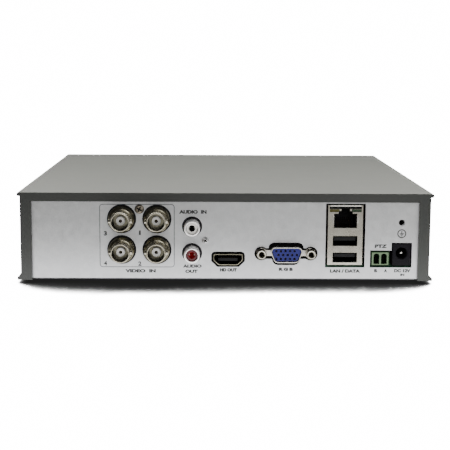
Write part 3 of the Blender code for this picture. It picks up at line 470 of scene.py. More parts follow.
COPPER = metal("enamelled copper", (0.62, 0.26, 0.12), 0.30, (0.44, 0.16, 0.07))
LID = metal("drive lid steel", (0.60, 0.61, 0.62), 0.32, (0.50, 0.51, 0.52), 0.5, 0.006, (0.06, 1.0, 1.0))
CAST = metal("cast aluminium", (0.40, 0.41, 0.42), 0.52, (0.30, 0.31, 0.32), 0.7, 0.03)
MACHINED = metal("machined aluminium", (0.66, 0.66, 0.67), 0.28, (0.55, 0.55, 0.56), 0.3, 0.004,
                 (0.1, 1.0, 1.0))
MIRROR = metal("polished disc", (0.78, 0.79, 0.80), 0.05, (0.72, 0.73, 0.75), 3.0, 0.0005)
ANODISED = metal("black anodised", (0.030, 0.030, 0.033), 0.42, (0.018, 0.018, 0.020), 0.4, 0.006)
BLACK = moulded("black plastic", (0.007, 0.007, 0.008), 0.50, (0.011, 0.011, 0.012), shine=0.15)
JACK_BLACK = moulded("power jack black", (0.010, 0.009, 0.012), 0.55, (0.006, 0.006, 0.007), shine=0.05)
EPOXY = moulded("chip epoxy", (0.016, 0.016, 0.017), 0.55, (0.026, 0.026, 0.027), 0.2, 0.006)
RUBBER = moulded("foot rubber", (0.016, 0.016, 0.016), 0.80, (0.028, 0.028, 0.027), 0.5, 0.03)
GLOSS = moulded("bezel gloss", (0.007, 0.007, 0.008), 0.10, (0.010, 0.010, 0.011), 4.0, 0.002)
SMOKED = moulded("smoked window", (0.012, 0.004, 0.005), 0.07, (0.018, 0.006, 0.007), 5.0, 0.002)
WHITE = moulded("white plastic", (0.93, 0.92, 0.89), 0.42, (0.86, 0.84, 0.80))
NYLON = moulded("natural nylon", (0.74, 0.72, 0.66), 0.45, (0.66, 0.64, 0.58))
RCA_WHITE = moulded("audio white", (0.84, 0.82, 0.78), 0.30, (0.74, 0.71, 0.67))
RCA_RED = moulded("audio red", (0.095, 0.010, 0.014), 0.40, (0.060, 0.006, 0.010))
BLUE = moulded("socket blue", (0.013, 0.015, 0.15), 0.42, (0.009, 0.010, 0.10), shine=0.3)
GREEN = moulded("header green", (0.14, 0.21, 0.12), 0.42, (0.10, 0.16, 0.08), shine=0.3)
BOARD = circuit_board("circuit board")
LIGHT_CLEAR = clear_plastic("light guide", (0.78, 0.84, 0.80), 0.6)
LED_YELLOW = clear_plastic("amber lens", (0.085, 0.075, 0.012), 0.25)
LED_GREEN = clear_plastic("green lens", (0.022, 0.045, 0.020), 0.25)
RED_PVC = moulded("red sheath", (0.42, 0.022, 0.016), 0.45, (0.32, 0.015, 0.012), 0.9, 0.01)
GREY_PVC = moulded("grey sheath", (0.26, 0.26, 0.27), 0.50, (0.20, 0.20, 0.21), 0.9, 0.01)
SLEEVE = moulded("capacitor sleeve", (0.020, 0.022, 0.045), 0.35, (0.030, 0.033, 0.060))
# Painted shade: black, dark red and dark green stand-ins for the shade in holes, gaps and cavities.
PAINTED_SHADE_BLACK = moulded("painted shade black", (0.003, 0.003, 0.003), 0.75, (0.005, 0.005, 0.005), shine=0.05)
PAINTED_SHADE_RED = moulded("painted shade red", (0.40, 0.004, 0.004), 0.6, (0.30, 0.002, 0.002), shine=0.1)
PAINTED_SHADE_GREEN = moulded("painted shade green", (0.006, 0.020, 0.007), 0.6, (0.010, 0.030, 0.011), shine=0.1)
INK = printed("panel ink", (0.004, 0.004, 0.005))
LINE_INK = printed("panel line ink", (0.06, 0.064, 0.075))


# ---------------------------------------------------------------- camera, floor and light

def make_camera():
    """Behind the recorder and a little above it, turned as the reference view was taken."""
    pitch, yaw, roll = 0.1564, -0.0160, 0.0064
    offset_x, distance, height = 9.28, 553.8, 117.5
    cos_p, sin_p, cos_y, sin_y = math.cos(pitch), math.sin(pitch), math.cos(yaw), math.sin(yaw)
    level = Vector((cos_y, sin_y, 0.0))
    forward = Vector((-cos_p * sin_y, cos_p * cos_y, -sin_p))
    upward = Vector((-sin_p * sin_y, sin_p * cos_y, cos_p))
    right = level * math.cos(roll) + upward * math.sin(roll)
    up = upward * math.cos(roll) - level * math.sin(roll)
    turned_round = [Vector((-v.x, -v.y, v.z)) for v in (right, up, -forward)]
    matrix = Matrix(turned_round).transposed().to_4x4()
    matrix.translation = [value * MM for value in (offset_x, RIM_Y + distance, height)]
    data = bpy.data.cameras.new("camera")
    data.sensor_width = 36.0
    data.lens = 89.45
    data.clip_start, data.clip_end = 0.01, 50.0
    camera = bpy.data.objects.new("camera", data)
    camera.matrix_world = matrix
    bpy.context.scene.collection.objects.link(camera)
    bpy.context.scene.camera = camera


def camera_only(nodes, links, lit, seen, kind):
    """Mixes what lights the object with what the background shows."""
    mix = nodes.new("ShaderNodeMixShader")
    links.new(nodes.new("ShaderNodeLightPath").outputs["Is Camera Ray"], mix.inputs["Fac"])
    links.new(lit, mix.inputs[1])
    links.new(seen, mix.inputs[2])
    links.new(mix.outputs["Shader"], nodes[kind].inputs["Surface"])


def make_floor():
    """A white floor, with a painted soft shadow under the case: the glow that the camera sees dims where
    ambient occlusion is high.
    """
    bm = bmesh.new()
    bmesh.ops.create_grid(bm, x_segments=2, y_segments=2, size=12.0)
    floor = make_object("floor", bm)
    finish = Finish("pale floor", (FLOOR_SHADE, FLOOR_SHADE, FLOOR_SHADE), 0.9)
    nodes, links = finish.nodes, finish.links
    corner = nodes.new("ShaderNodeAmbientOcclusion")
    corner.samples = 32
    corner.inputs["Distance"].default_value = SHADOW_REACH
    lean = nodes.new("ShaderNodeCombineXYZ")
    lean.inputs["Y"].default_value = -math.sin(SHADOW_LEAN)
    lean.inputs["Z"].default_value = math.cos(SHADOW_LEAN)
    links.new(lean.outputs["Vector"], corner.inputs["Normal"])
    # Painted shadow: occlusion leaning towards the case darkens the floor's camera-only glow.
    opened = finish.ranged(corner.outputs["AO"], 0.0, 1.0, SHADOW_DARKEST, SHADOW_END)
    axes = nodes.new("ShaderNodeSeparateXYZ")
    links.new(finish.coords, axes.inputs["Vector"])
    sideways = finish.math("ABSOLUTE", axes.outputs["X"])
    fade = finish.ranged(sideways, 0.0, 1.0, *SHADOW_SIDES, interpolation="SMOOTHSTEP")
    curve = finish.math("POWER", finish.math("MAXIMUM", opened, fade), SHADOW_CURVE)
    stops = finish.ranged(curve, DARKEST_STOP, math.log2(BACKDROP), 0.0, 1.0)
    glow = nodes.new("ShaderNodeEmission")
    links.new(finish.math("POWER", 2.0, stops), glow.inputs["Strength"])
    camera_only(nodes, links, finish.shader.outputs["BSDF"], glow.outputs["Emission"], "Material Output")
    floor.data.materials.append(finish.material)


def make_softbox(name, location, target, size, radiance, colour=(1.0, 1.0, 1.0)):
    data = bpy.data.lights.new(name, "AREA")
    data.shape = "RECTANGLE"
    data.size, data.size_y = size
    data.energy = radiance * math.pi * size[0] * size[1]
    data.color = colour
    light = bpy.data.objects.new(name, data)
    light.location = location
    direction = Vector(target) - Vector(location)
    light.rotation_euler = direction.to_track_quat("-Z", "Y").to_euler()
    light.visible_camera = False
    bpy.context.scene.collection.objects.link(light)


def make_lights():
    """A dim room, a broad light above the front, a low glow before the rear panel, and two fills."""
    world = bpy.data.worlds.new("studio")
    world.use_nodes = True
    nodes, links = world.node_tree.nodes, world.node_tree.links
    room = nodes["Background"]
    room.inputs["Color"].default_value = (1.0, 1.0, 1.0, 1.0)
    room.inputs["Strength"].default_value = ROOM
    backdrop = nodes.new("ShaderNodeBackground")
    backdrop.inputs["Color"].default_value = (1.0, 1.0, 1.0, 1.0)
    backdrop.inputs["Strength"].default_value = BACKDROP
    camera_only(nodes, links, room.outputs["Background"], backdrop.outputs["Background"], "World Output")
    bpy.context.scene.world = world
    panel_y, strip_y = PANEL_Y * MM, RIM_Y * MM + 0.025
    make_softbox("rear key", (0.0, -0.45, 0.62), (0.0, 0.02, 0.03), (1.5, 0.5), KEY, (1.0, 1.0, 0.93))
    make_softbox("low glow", (-0.02, strip_y, 0.5 * MM), (-0.02, strip_y, 1.0), (0.40, 0.05), GLOW)
    make_softbox("front fill", (-0.15, 1.3, 0.40), (0.0, panel_y, 0.02), (0.6, 0.4), FILL)
    make_softbox("side fill", (-0.36, 0.36, 0.22), (-0.08, panel_y, 0.03), (0.3, 0.3), SIDE)


make_camera()
make_floor()
make_lights()


# ---------------------------------------------------------------- case

def make_case():
    refine("top_cover", COVER, "cover_plastic", 0.25, "cover", 42.0)
    refine("chassis", STEEL, "panel_steel", 0.12, angle=42.0)
    refine("front_bezel", GLOSS, "bezel_gloss", 0.35)
    refine("ir_window", SMOKED, "smoked_window", 0.15)
    for light in ("power", "drive", "network"):
        refine(f"light_pipe_{light}", LIGHT_CLEAR, "light_pipe", 0.1)
    for number in (1, 2, 3, 4):
        make_foot(number)
        make_cover_screw(number)


def make_foot(number):
    low, high, centre = located(f"foot_{number}", "Z")
    radius, top = (high.x - low.x) / 2, high.z
    profile = [(0.0, 0.5), (radius - 2.6, 0.5), (radius - 2.2, 0.0), (radius - 0.9, 0.0),
               (radius - 0.4, 0.25), (radius, 0.9), (radius, top - 0.3), (radius - 0.3, top), (0.0, top)]
    add_piece(f"rubber_foot_{number}", turned(profile, "Z", centre, 48), RUBBER, "foot_rubber",
              replaces=(f"foot_{number}",))


def screw_head(name, axis, centre, seat, top, radius, shank, finish, slot, node, tip):
    """A pan head with a cross recess and painted shade at the recess floor, on a shank that ends at tip.
    Axis points out of the head.
    """
    sign = 1.0 if top > seat else -1.0
    height = abs(top - seat)
    profile = [(0.0, tip), (shank * 0.6, tip), (shank, tip + sign * shank), (shank, seat), (radius, seat)]
    for i in range(5):
        turn = math.radians(90 * i / 4)
        profile.append((radius - height * 0.85 * (1 - math.cos(turn)),
                        seat + sign * height * (0.25 + 0.75 * math.sin(turn))))
    profile.append((0.0, top))
    obj = make_object(name, turned(profile, axis, centre, 40))
    cos_turn, sin_turn = 0.87, 0.5
    recess = shifted([(a * cos_turn - b * sin_turn, a * sin_turn + b * cos_turn)
                      for a, b in cross(radius * 0.60, radius * 0.17)], centre)
    cut(obj, prism(recess, axis, top - sign * height * 0.75, top + sign))
    # Painted shade: a near-black piece at the floor of the cross recess.
    floor_levels = sorted((top - sign * height * 0.80, top - sign * height * 0.55))
    add_piece(f"{name}_recess", prism(recess, axis, *floor_levels), PAINTED_SHADE_METAL, slot)
    dress(obj, finish, slot, replaces=(node,) if node else (), edge=0.05)


def make_cover_screw(number):
    node = f"cover_screw_{number}"
    low, high, centre = located(node, "Z")
    screw_head(f"cover_screw_cross_{number}", "Z", centre, CASE_BOTTOM - 0.3, low.z,
               (high.x - low.x) / 2, 1.35, ZINC, "screw_zinc", node, high.z)


# ---------------------------------------------------------------- sockets

def make_video_socket(number):
    low, high, centre = located(f"bnc_shell_{number}", "Y")
    root, tip = low.y, high.y
    make_video_base(number, centre, root)
    barrel, bore, floor = 4.8, 4.1, PANEL_Y + 2.0
    wall = (barrel - bore) / 2
    profile = [(0.0, PANEL_Y + 0.5), (barrel - 0.2, PANEL_Y + 0.5), (barrel - 0.2, PANEL_Y + 5.2),
               (barrel, PANEL_Y + 5.4), (barrel, tip - 1.7), (barrel - 0.12, tip - 1.6),
               (barrel - 0.12, tip - 1.3), (barrel, tip - 1.2)]
    for step in range(9):
        turn = math.radians(180 * step / 8)
        profile.append((bore + wall + wall * math.cos(turn), tip - wall + wall * math.sin(turn)))
    profile += [(bore, floor), (0.0, floor)]
    shell = make_object(f"video_socket_{number}", turned(profile, "Y", centre, 72))
    lugs = bmesh.new()
    for side in (-1, 1):
        inner, outer = centre[0] + side * (bore + 0.35), centre[0] + side * (barrel + 1.0)
        add_prism(lugs, circle((tip - 3.2, centre[1]), 1.0, 24), "X", min(inner, outer),
                  max(inner, outer))
    join(shell, lugs)
    dress(shell, BARREL_NICKEL, "nickel_plate", replaces=(f"bnc_shell_{number}",), edge=0.06, angle=50.0)
    make_video_core(number, centre, floor, bore, tip)


def make_video_base(number, centre, root):
    """The threaded foot of a video socket, with stepped rings on its face, in nickel darkened by painted
    shade.
    """
    base, pitch, depth = 6.45, 0.8, 0.32
    profile = [(0.0, root), (base, root), (base, PANEL_Y + 0.3)]
    for turn in range(4):
        start = PANEL_Y + 0.4 + turn * pitch
        profile += [(base - depth, start + 0.25 * pitch), (base, start + 0.75 * pitch)]
    profile += [(base - 0.15, PANEL_Y + 3.6), (base - 0.55, PANEL_Y + 4.0), (base - 0.75, PANEL_Y + 3.8),
                (base - 0.95, PANEL_Y + 4.3), (base - 1.25, PANEL_Y + 4.4), (base - 1.35, PANEL_Y + 4.1),
                (4.62, PANEL_Y + 4.1), (4.62, PANEL_Y + 5.0), (0.0, PANEL_Y + 5.0)]
    # Painted shade: the foot is in darkened nickel.
    add_piece(f"video_base_{number}", turned(profile, "Y", centre, 72), NICKEL_WITH_PAINTED_SHADE, "nickel_plate")


def make_video_core(number, centre, floor, bore, tip):
    """The white insulator, the contact deep inside it, and black painted shade in its hole and in the
    throat round it.
    """
    node = f"bnc_insulator_{number}"
    face = box(node)[1].y
    start, radius = floor + 0.3, 2.25
    core = [(0.0, start), (radius, start), (radius, face - 0.35), (radius - 0.1, face - 0.1),
            (radius - 0.3, face), (0.95, face), (0.8, face - 0.2), (0.8, face - 2.9), (0.0, face - 2.9)]
    add_piece(f"video_insulator_{number}", turned(core, "Y", centre, 48), WHITE, "insulator_white",
              replaces=(node,))
    sleeve = [(0.35, face - 2.7), (0.74, face - 2.7), (0.74, face - 1.7), (0.55, face - 1.5),
              (0.35, face - 1.7)]
    add_piece(f"video_contact_{number}", turned(sleeve, "Y", centre, 24), TIN_BROWN, "nickel_plate")
    # Painted shade in the insulator's hole.
    shade_bore(f"video_bore_{number}", centre, 0.78, face - 2.8, face - 0.25, PAINTED_SHADE_BLACK)
    # Painted shade: a near-black metal sleeve in the throat between insulator and barrel.
    throat = [(radius + 0.05, floor + 0.02), (bore - 0.02, floor + 0.02), (bore - 0.02, tip - 1.4),
              (bore - 0.12, tip - 1.5), (bore - 0.12, floor + 0.2), (radius + 0.05, floor + 0.2)]
    add_piece(f"video_throat_{number}", turned(throat, "Y", centre, 64), PAINTED_SHADE_METAL, "nickel_plate")


def shade_bore(name, centre, radius, floor, mouth, finish):
    """Painted shade: a black cup that stands in for the shade deep in a hole that faces the rear."""
    wall, floor_thick = 0.06, 0.1
    profile = [(0.0, floor), (radius, floor), (radius, mouth), (radius - wall, mouth),
               (radius - wall, floor + floor_thick), (0.0, floor + floor_thick)]
    add_piece(name, turned(profile, "Y", centre, 32), finish, "connector_black")


def make_audio_socket(name, finish, slot):
    low, high, centre = located(f"rca_shell_{name}", "Y")
    outer, bore, root, tip = (high.x - low.x) / 2 - 0.15, 3.0, low.y, high.y
    floor = PANEL_Y + 1.0
    profile = [(0.0, root), (outer, root), (outer, root + 0.4), (outer - 0.15, root + 0.7),
               (outer - 0.15, tip - 2.2), (outer, tip - 1.9), (outer, tip - 0.55),
               (outer - 0.12, tip - 0.22), (outer - 0.40, tip), (bore + 0.30, tip),
               (bore + 0.06, tip - 0.14), (bore, tip - 0.4), (bore, floor), (0.0, floor)]
    add_piece(f"audio_socket_{name}", turned(profile, "Y", centre, 64), PALE_TIN, "nickel_plate",
              replaces=(f"rca_shell_{name}",))
    face, radius = tip - 0.8, bore - 0.2
    core = [(0.0, floor + 0.3), (radius, floor + 0.3), (radius, face - 0.2), (radius - 0.2, face),
            (1.85, face), (1.65, face - 0.2), (1.62, face - 0.6), (1.62, face - 4.5), (0.0, face - 4.5)]
    add_piece(f"audio_insert_{name}", turned(core, "Y", centre, 48), finish, slot,
              replaces=(f"rca_insert_{name}",))
    # Painted shade deep in the socket's hole: black for the white socket, dark red for the red one.
    shade_lining = PAINTED_SHADE_BLACK if finish == RCA_WHITE else PAINTED_SHADE_RED
    shade_bore(f"audio_bore_{name}", centre, 1.60, face - 4.4, face - 0.3, shade_lining)
    leaf = bmesh.new()
    for side in (-1, 1):
        x = centre[0] + side * 1.25
        add_block(leaf, (x - 0.12, face - 4.2, centre[1] - 0.5), (x + 0.12, face - 2.6, centre[1] + 0.5))
    add_piece(f"audio_contact_{name}", leaf, BRIGHT, "nickel_plate")


def hd_outline(grow, steps=3):
    """The high-definition socket: a rectangle with its lower corners slanted in, all corners eased."""
    half, top, shoulder, foot = 7.55, 2.95, -0.45, 4.9
    corners = [(-foot - grow * 0.6, -top - grow), (foot + grow * 0.6, -top - grow),
               (half + grow, shoulder - grow * 0.6), (half + grow, top + grow),
               (-half - grow, top + grow), (-half - grow, shoulder - grow * 0.6)]
    return eased(corners, 0.8, steps)


def eased(corners, radius, steps):
    """The outline through the corners, each rounded by a curve that starts a radius before it."""
    points = []
    for before, corner, after in zip(corners[-1:] + corners[:-1], corners, corners[1:] + corners[:1]):
        c = Vector(corner)
        start = c + (Vector(before) - c).normalized() * radius
        end = c + (Vector(after) - c).normalized() * radius
        for i in range(steps + 1):
            t = i / steps
            point = start * (1 - t) ** 2 + c * (2 * t * (1 - t)) + end * t ** 2
            points.append((point.x, point.y))
    return points


def make_hd_socket():
    low, high, centre = located("hd_socket_shell", "Y")
    shell = make_object("hd_socket", prism(shifted(hd_outline(-0.15), centre), "Y", low.y, high.y))
    cut(shell, prism(shifted(hd_outline(-0.48), centre), "Y", low.y + 1.5, high.y + 1.0))
    # Painted shade: a black frame in the panel's cut-out round the socket.
    opening = shifted(hd_outline(0.92), (centre[0], centre[1] + 0.15))
    make_surround("hd_surround", opening, shifted(hd_outline(-0.05), centre))
    # Painted shade: the shell is in darkened nickel.
    dress(shell, NICKEL_WITH_PAINTED_SHADE, "nickel_plate", replaces=("hd_socket_shell",), edge=0.07)
    # Painted shade: a black sleeve inside the shell.
    shade_lining = make_object("hd_lining", prism(shifted(hd_outline(-0.50), centre), "Y", low.y + 1.52,
                                            high.y - 0.35))
    cut(shade_lining, prism(shifted(hd_outline(-0.68), centre), "Y", low.y + 1.7, high.y + 1.0))
    dress(shade_lining, PAINTED_SHADE_BLACK, "connector_black")
    refine("hd_socket_tongue", BLACK, "connector_black", 0.15)
    t_low, t_high = box("hd_socket_tongue")
    contacts = bmesh.new()
    count, pitch = 10, 0.94
    for i in range(count):
        x = centre[0] + (i - (count - 1) / 2) * pitch
        for z in (t_low.z - 0.05, t_high.z - 0.10):
            add_block(contacts, (x - 0.22, t_low.y + 1.0, z), (x + 0.22, t_high.y - 0.5, z + 0.15))
    add_piece("hd_contacts", contacts, TIN_BROWN, "nickel_plate")


def make_surround(name, outer, inner):
    """Painted shade: a black frame that fills the panel's cut-out round a socket, just behind the panel's
    face, where the gap lies in shade.
    """
    frame_piece = make_object(name, prism(outer, "Y", PANEL_Y - 0.95, PANEL_Y - 0.55))
    cut(frame_piece, prism(inner, "Y", PANEL_Y - 2, PANEL_Y + 1.0))
    dress(frame_piece, PAINTED_SHADE_BLACK, "connector_black")


def d_outline(width, height, radius, steps=6):
    """The D of a fifteen-way socket: wide at the top, with its sides ten degrees in."""
    lean = math.tan(math.radians(10)) * height / 2
    wide, narrow = width / 2 - radius, width / 2 - 2 * lean - radius
    high = height / 2 - radius
    points = arc((narrow, -high), radius, -90, -10, steps)
    points += arc((wide, high), radius, -10, 90, steps)
    points += arc((-wide, high), radius, 90, 190, steps)
    points += arc((-narrow, -high), radius, 190, 270, steps)
    return points


def make_d_socket():
    low, high, centre = located("dsub_shell", "Y")
    flange_front = PANEL_Y - SHEET - 0.3
    ear, reach, plate_x, plate_z = 2.6, high.x - centre[0] - 2.6, 8.2, 3.6
    right = [(plate_x, -plate_z)] + arc((reach, 0.0), ear, -60, 60, 10) + [(plate_x, plate_z)]
    flange = right + [(-x, -z) for x, z in right]
    shell = make_object("d_socket_shell", prism(shifted(flange, centre), "Y", low.y, flange_front))
    cut(shell, prism(shifted(d_outline(14.95, 6.95, 1.85), centre), "Y", low.y - 1.0, high.y + 1.0))
    dress(shell, CREAM, "nickel_plate", replaces=("dsub_shell",), edge=0.18, angle=50.0)
    rim = make_object("d_socket_rim", prism(shifted(d_outline(15.9, 7.9, 2.3), centre), "Y",
                                            flange_front + 0.1, high.y))
    cut(rim, prism(shifted(d_outline(14.9, 6.9, 1.8), centre), "Y", low.y - 1.0, high.y + 1.0))
    dress(rim, BRIGHT, "nickel_plate", edge=0.2, angle=50.0)
    make_d_surround(centre, reach, flange_front)
    insert_low, insert_high = box("dsub_insert")
    face = insert_high.y
    core_back = low.y - 0.2
    core = shifted(d_outline(14.3, 6.3, 1.5), centre)
    insert = make_object("d_socket_insert", prism(core, "Y", core_back, face))
    add_piece("d_socket_body", block(insert_low, (insert_high.x, core_back - 0.05, insert_high.z)),
              BLACK, "connector_black", edge=0.3)
    holes = bmesh.new()
    sleeves = bmesh.new()
    pitch, row_gap = 2.29, 1.98
    for row in (-1, 0, 1):
        for i in range(5):
            shift = -pitch / 2 if row == 0 else 0.0
            pin = (centre[0] + (i - 2) * pitch + shift + pitch / 4, centre[1] + row * row_gap)
            add_prism(holes, circle(pin, 0.60, 16), "Y", face - 4.0, face + 1.0)
            add_turned(sleeves, [(0.30, face - 3.9), (0.56, face - 3.9), (0.56, face - 2.4),
                                 (0.30, face - 2.4)], "Y", pin, 12)
    cut(insert, holes)
    dress(insert, BLUE, "dsub_blue", replaces=("dsub_insert",), edge=0.12)
    add_piece("d_socket_contacts", sleeves, TIN_BROWN, "nickel_plate")
    for side in ("left", "right"):
        make_jackscrew(side)


def make_d_surround(centre, reach, start):
    """Painted shade: a black piece for the gap that follows the panel's opening round the D socket, its
    necks and its ears.
    """
    end = start + 0.28
    opening = shifted(d_outline(17.86, 11.46, 2.8), (centre[0], centre[1] - 0.15))
    gap = make_object("d_socket_surround", prism(opening, "Y", start, end))
    inside = bmesh.new()
    add_prism(inside, rectangle(*around(centre, 2 * reach, 3.1)), "Y", start - 1.0, end + 1.0)
    ears, eyes = bmesh.new(), bmesh.new()
    for side in (-1, 1):
        ear = (centre[0] + side * reach, centre[1])
        add_prism(ears, circle(ear, 3.5, 40), "Y", start + 0.02, end - 0.02)
        add_prism(eyes, circle(ear, 2.75, 40), "Y", start - 1.0, end + 1.0)
    join(gap, ears)
    join(gap, prism(rectangle(*around(centre, 2 * reach, 5.36)), "Y", start + 0.04, end - 0.04))
    cut(gap, inside)
    cut(gap, eyes)
    cut(gap, prism(shifted(d_outline(15.95, 7.95, 2.3), centre), "Y", start - 1.0, end + 1.0))
    dress(gap, PAINTED_SHADE_BLACK, "connector_black")


def make_jackscrew(side):
    node = f"dsub_jackscrew_{side}"
    low, high, centre = located(node, "Y")
    radius = (high.x - low.x) / 2
    screw = make_object(f"jackscrew_{side}", prism(circle(centre, radius, 6), "Y", low.y, high.y - 0.04))
    chamfer = [(radius + 1.0, high.y + 1.0), (radius + 1.0, high.y - 0.75), (radius, high.y - 0.75),
               (radius * 0.78, high.y), (radius * 0.78, high.y + 1.0)]
    cut(screw, turned(chamfer, "Y", centre, 36))
    bore = [(0.0, low.y + 0.8), (1.25, low.y + 0.8)]
    for turn in range(6):
        start = low.y + 1.2 + turn * 0.5
        bore += [(1.45, start), (1.22, start + 0.25)]
    bore += [(1.25, high.y - 0.4), (1.7, high.y + 0.01), (1.7, high.y + 1.0), (0.0, high.y + 1.0)]
    cut(screw, turned(bore, "Y", centre, 28))
    # Painted shade: the hex is in darkened nickel so that it merges with the shaded gap.
    dress(screw, NICKEL_WITH_PAINTED_SHADE, "nickel_plate", replaces=(node,), edge=0.06)
    face = [(1.72, high.y - 0.3), (radius * 0.76, high.y - 0.3), (radius * 0.76, high.y - 0.05),
            (radius * 0.74, high.y), (1.78, high.y), (1.72, high.y - 0.05)]
    add_piece(f"jackscrew_face_{side}", turned(face, "Y", centre, 48), CREAM, "nickel_plate")
    funnel = [(1.35, high.y - 0.45), (1.70, high.y - 0.08), (1.74, high.y - 0.12), (1.45, high.y - 0.5)]
    add_piece(f"jackscrew_funnel_{side}", turned(funnel, "Y", centre, 48), CREAM, "nickel_plate")
    # Painted shade: a near-black metal cup deep in the threaded bore.
    shade_bore(f"jackscrew_bore_{side}", centre, 1.20, low.y + 0.85, high.y - 0.9, PAINTED_SHADE_METAL)


def lan_mouth():
    """Mouth of the network socket, with the stepped slot for the plug's latch at the top."""
    low, high = 28.45, 35.75
    half, step, notch = 5.85, 3.55, 2.2
    step_top, notch_top = high + 1.4, high + 2.5
    right = [(half, low), (half, high), (step, high), (step, step_top), (notch, step_top),
             (notch, notch_top)]
    left = [(-x, z) for x, z in reversed(right)]
    return right + left


def make_lan_stack():
    low, high = box("lan_shield")
    x = (low.x + high.x) / 2
    front, wall = high.y, 0.4
    usb_z, light_x, light_z = (13.3, 21.8), 5.6, 37.3
    shield = make_object("lan_usb_shield", block(low, high))
    cut(shield, block((low.x + wall, low.y - 1.0, low.z + wall),
                      (high.x - wall, front - wall, high.z - wall)))
    mouths = bmesh.new()
    add_prism(mouths, shifted(lan_mouth(), (x, 0.0)), "Y", front - 3, front + 3)
    for z in usb_z:
        add_prism(mouths, rounded(*around((x, z), 12.4, 5.1), 0.3), "Y", front - 3, front + 3)
    windows = bmesh.new()
    for side in (-1, 1):
        window = rectangle(*around((x + side * light_x, light_z), 4.9, 1.5))
        add_prism(windows, window, "Y", front - 3, front + 3)
    cut(shield, mouths)
    cut(shield, windows)
    cut(shield, block((low.x + 0.7, front - 2.4, high.z - 1.95),
                      (high.x - 0.7, front + 1.0, high.z - 0.85)))
    dress(shield, NICKEL, "nickel_plate", replaces=("lan_shield",), edge=0.10)
    add_piece("lan_top_strip", block((low.x + 0.9, front - 2.2, high.z - 0.80),
                                     (high.x - 0.9, front + 0.35, high.z - 0.30)), BRIGHT,
              "nickel_plate", edge=0.15)
    # Painted shade: black pieces in the groove under the top strip and in the gap along the shield's top
    # edge.
    add_piece("lan_top_groove", block((low.x + 0.6, front - 2.2, high.z - 2.15),
                                      (high.x - 0.6, front + 0.02, high.z - 0.95)), PAINTED_SHADE_BLACK,
              "connector_black", edge=0.1)
    add_piece("lan_top_gap", block((low.x + 0.1, front - 1.2, high.z - 0.25),
                                   (high.x - 0.1, front + 0.02, high.z - 0.02)), PAINTED_SHADE_BLACK,
              "connector_black")
    refine("lan_insert", BLACK, "connector_black", 0.1)
    for side, name, finish in ((1, "amber", LED_YELLOW), (-1, "green", LED_GREEN)):
        lens = rounded(*around((x + side * light_x, light_z), 4.7, 1.3), 0.2)
        add_piece(f"lan_light_{name}", prism(lens, "Y", front - 4, front - 0.1), finish, "light_pipe",
                  edge=0.08)
    make_lan_springs(x, front, usb_z)
    make_lan_contacts(x, front, usb_z)


def make_lan_springs(x, front, usb_z):
    """Spring tabs of the shield: at the network mouth's sides, and above each slot."""
    tabs = bmesh.new()
    for side in (-1, 1):
        edge = x + side * 5.85
        outline = [(edge + side * 0.7, front + 0.02), (edge + side * 0.6, front + 0.3),
                   (edge, front + 0.4), (edge - side * 0.5, front - 0.3),
                   (edge - side * 0.6, front - 4.0), (edge - side * 0.35, front - 4.0),
                   (edge - side * 0.2, front - 0.8)]
        add_prism(tabs, outline, "Z", 31.0, 34.6)
    for z in usb_z:
        for offset in (-3.2, 3.2):
            add_block(tabs, (x + offset - 0.8, front - 7, z + 2.3),
                      (x + offset + 0.8, front - 2.5, z + 2.5))
    add_piece("lan_usb_springs", tabs, BRIGHT, "nickel_plate", edge=0.05)


def make_lan_contacts(x, front, usb_z):
    wires = bmesh.new()
    for i in range(8):
        wire_x = x + (i - 3.5) * 1.02
        outline = [(front - 3.0, 28.6), (front - 2.6, 28.6), (front - 11.5, 32.4), (front - 12.0, 32.2)]
        add_prism(wires, outline, "X", wire_x - 0.2, wire_x + 0.2)
    for z in usb_z:
        for i in range(4):
            strip_x = x + (i - 1.5) * 2.3
            add_block(wires, (strip_x - 0.5, front - 10, z - 0.14),
                      (strip_x + 0.5, front - 4.2, z + 0.05))
    add_piece("lan_usb_contacts", wires, TIN_BROWN, "nickel_plate")


def make_serial_header():
    refine("serial_header", GREEN, "header_green", 0.14)
    low, high, centre = located("serial_header", "Y")
    half, tall, chamfer, wall = 1.43, 2.63, 0.8, 0.08
    pins = bmesh.new()
    for side in (-1, 1):
        x = centre[0] + side * 3.81 / 2
        add_prism(pins, rectangle(*around((x, centre[1] - 0.3), 0.8, 0.8)), "Y", low.y + 2.2,
                  high.y - 3.0)
        # Painted shade: a dark green sleeve inside each cavity.
        tube = make_object(f"serial_lining_{'b' if side > 0 else 'a'}",
                           prism(shifted(chamfered(half, tall, chamfer), (x, centre[1])), "Y",
                                 low.y + 2.05, high.y - 0.25))
        cut(tube, prism(shifted(chamfered(half - wall, tall - wall, chamfer), (x, centre[1])), "Y",
                        low.y + 2.15, high.y + 1.0))
        dress(tube, PAINTED_SHADE_GREEN, "header_green")
    # Painted shade: the pins deep in the cavities are in near-black metal.
    add_piece("serial_pins", pins, PAINTED_SHADE_METAL, "nickel_plate", edge=0.18)
    # Painted shade: a dark green frame round the header's front edges.
    border = make_object("serial_border", block((low.x - 0.1, high.y - 1.6, low.z - 0.05),
                                                (high.x + 0.1, high.y + 0.02, high.z + 0.1)))
    cut(border, block((low.x + 0.42, high.y - 3, low.z + 0.45),
                      (high.x - 0.42, high.y + 1.0, high.z - 0.42)))
    dress(border, PAINTED_SHADE_GREEN, "header_green", edge=0.12)


def chamfered(half, tall, chamfer):
    """A tall opening with its two upper corners cut off."""
    return [(half, -tall), (half, tall - chamfer), (half - chamfer, tall), (chamfer - half, tall),
            (-half, tall - chamfer), (-half, -tall)]


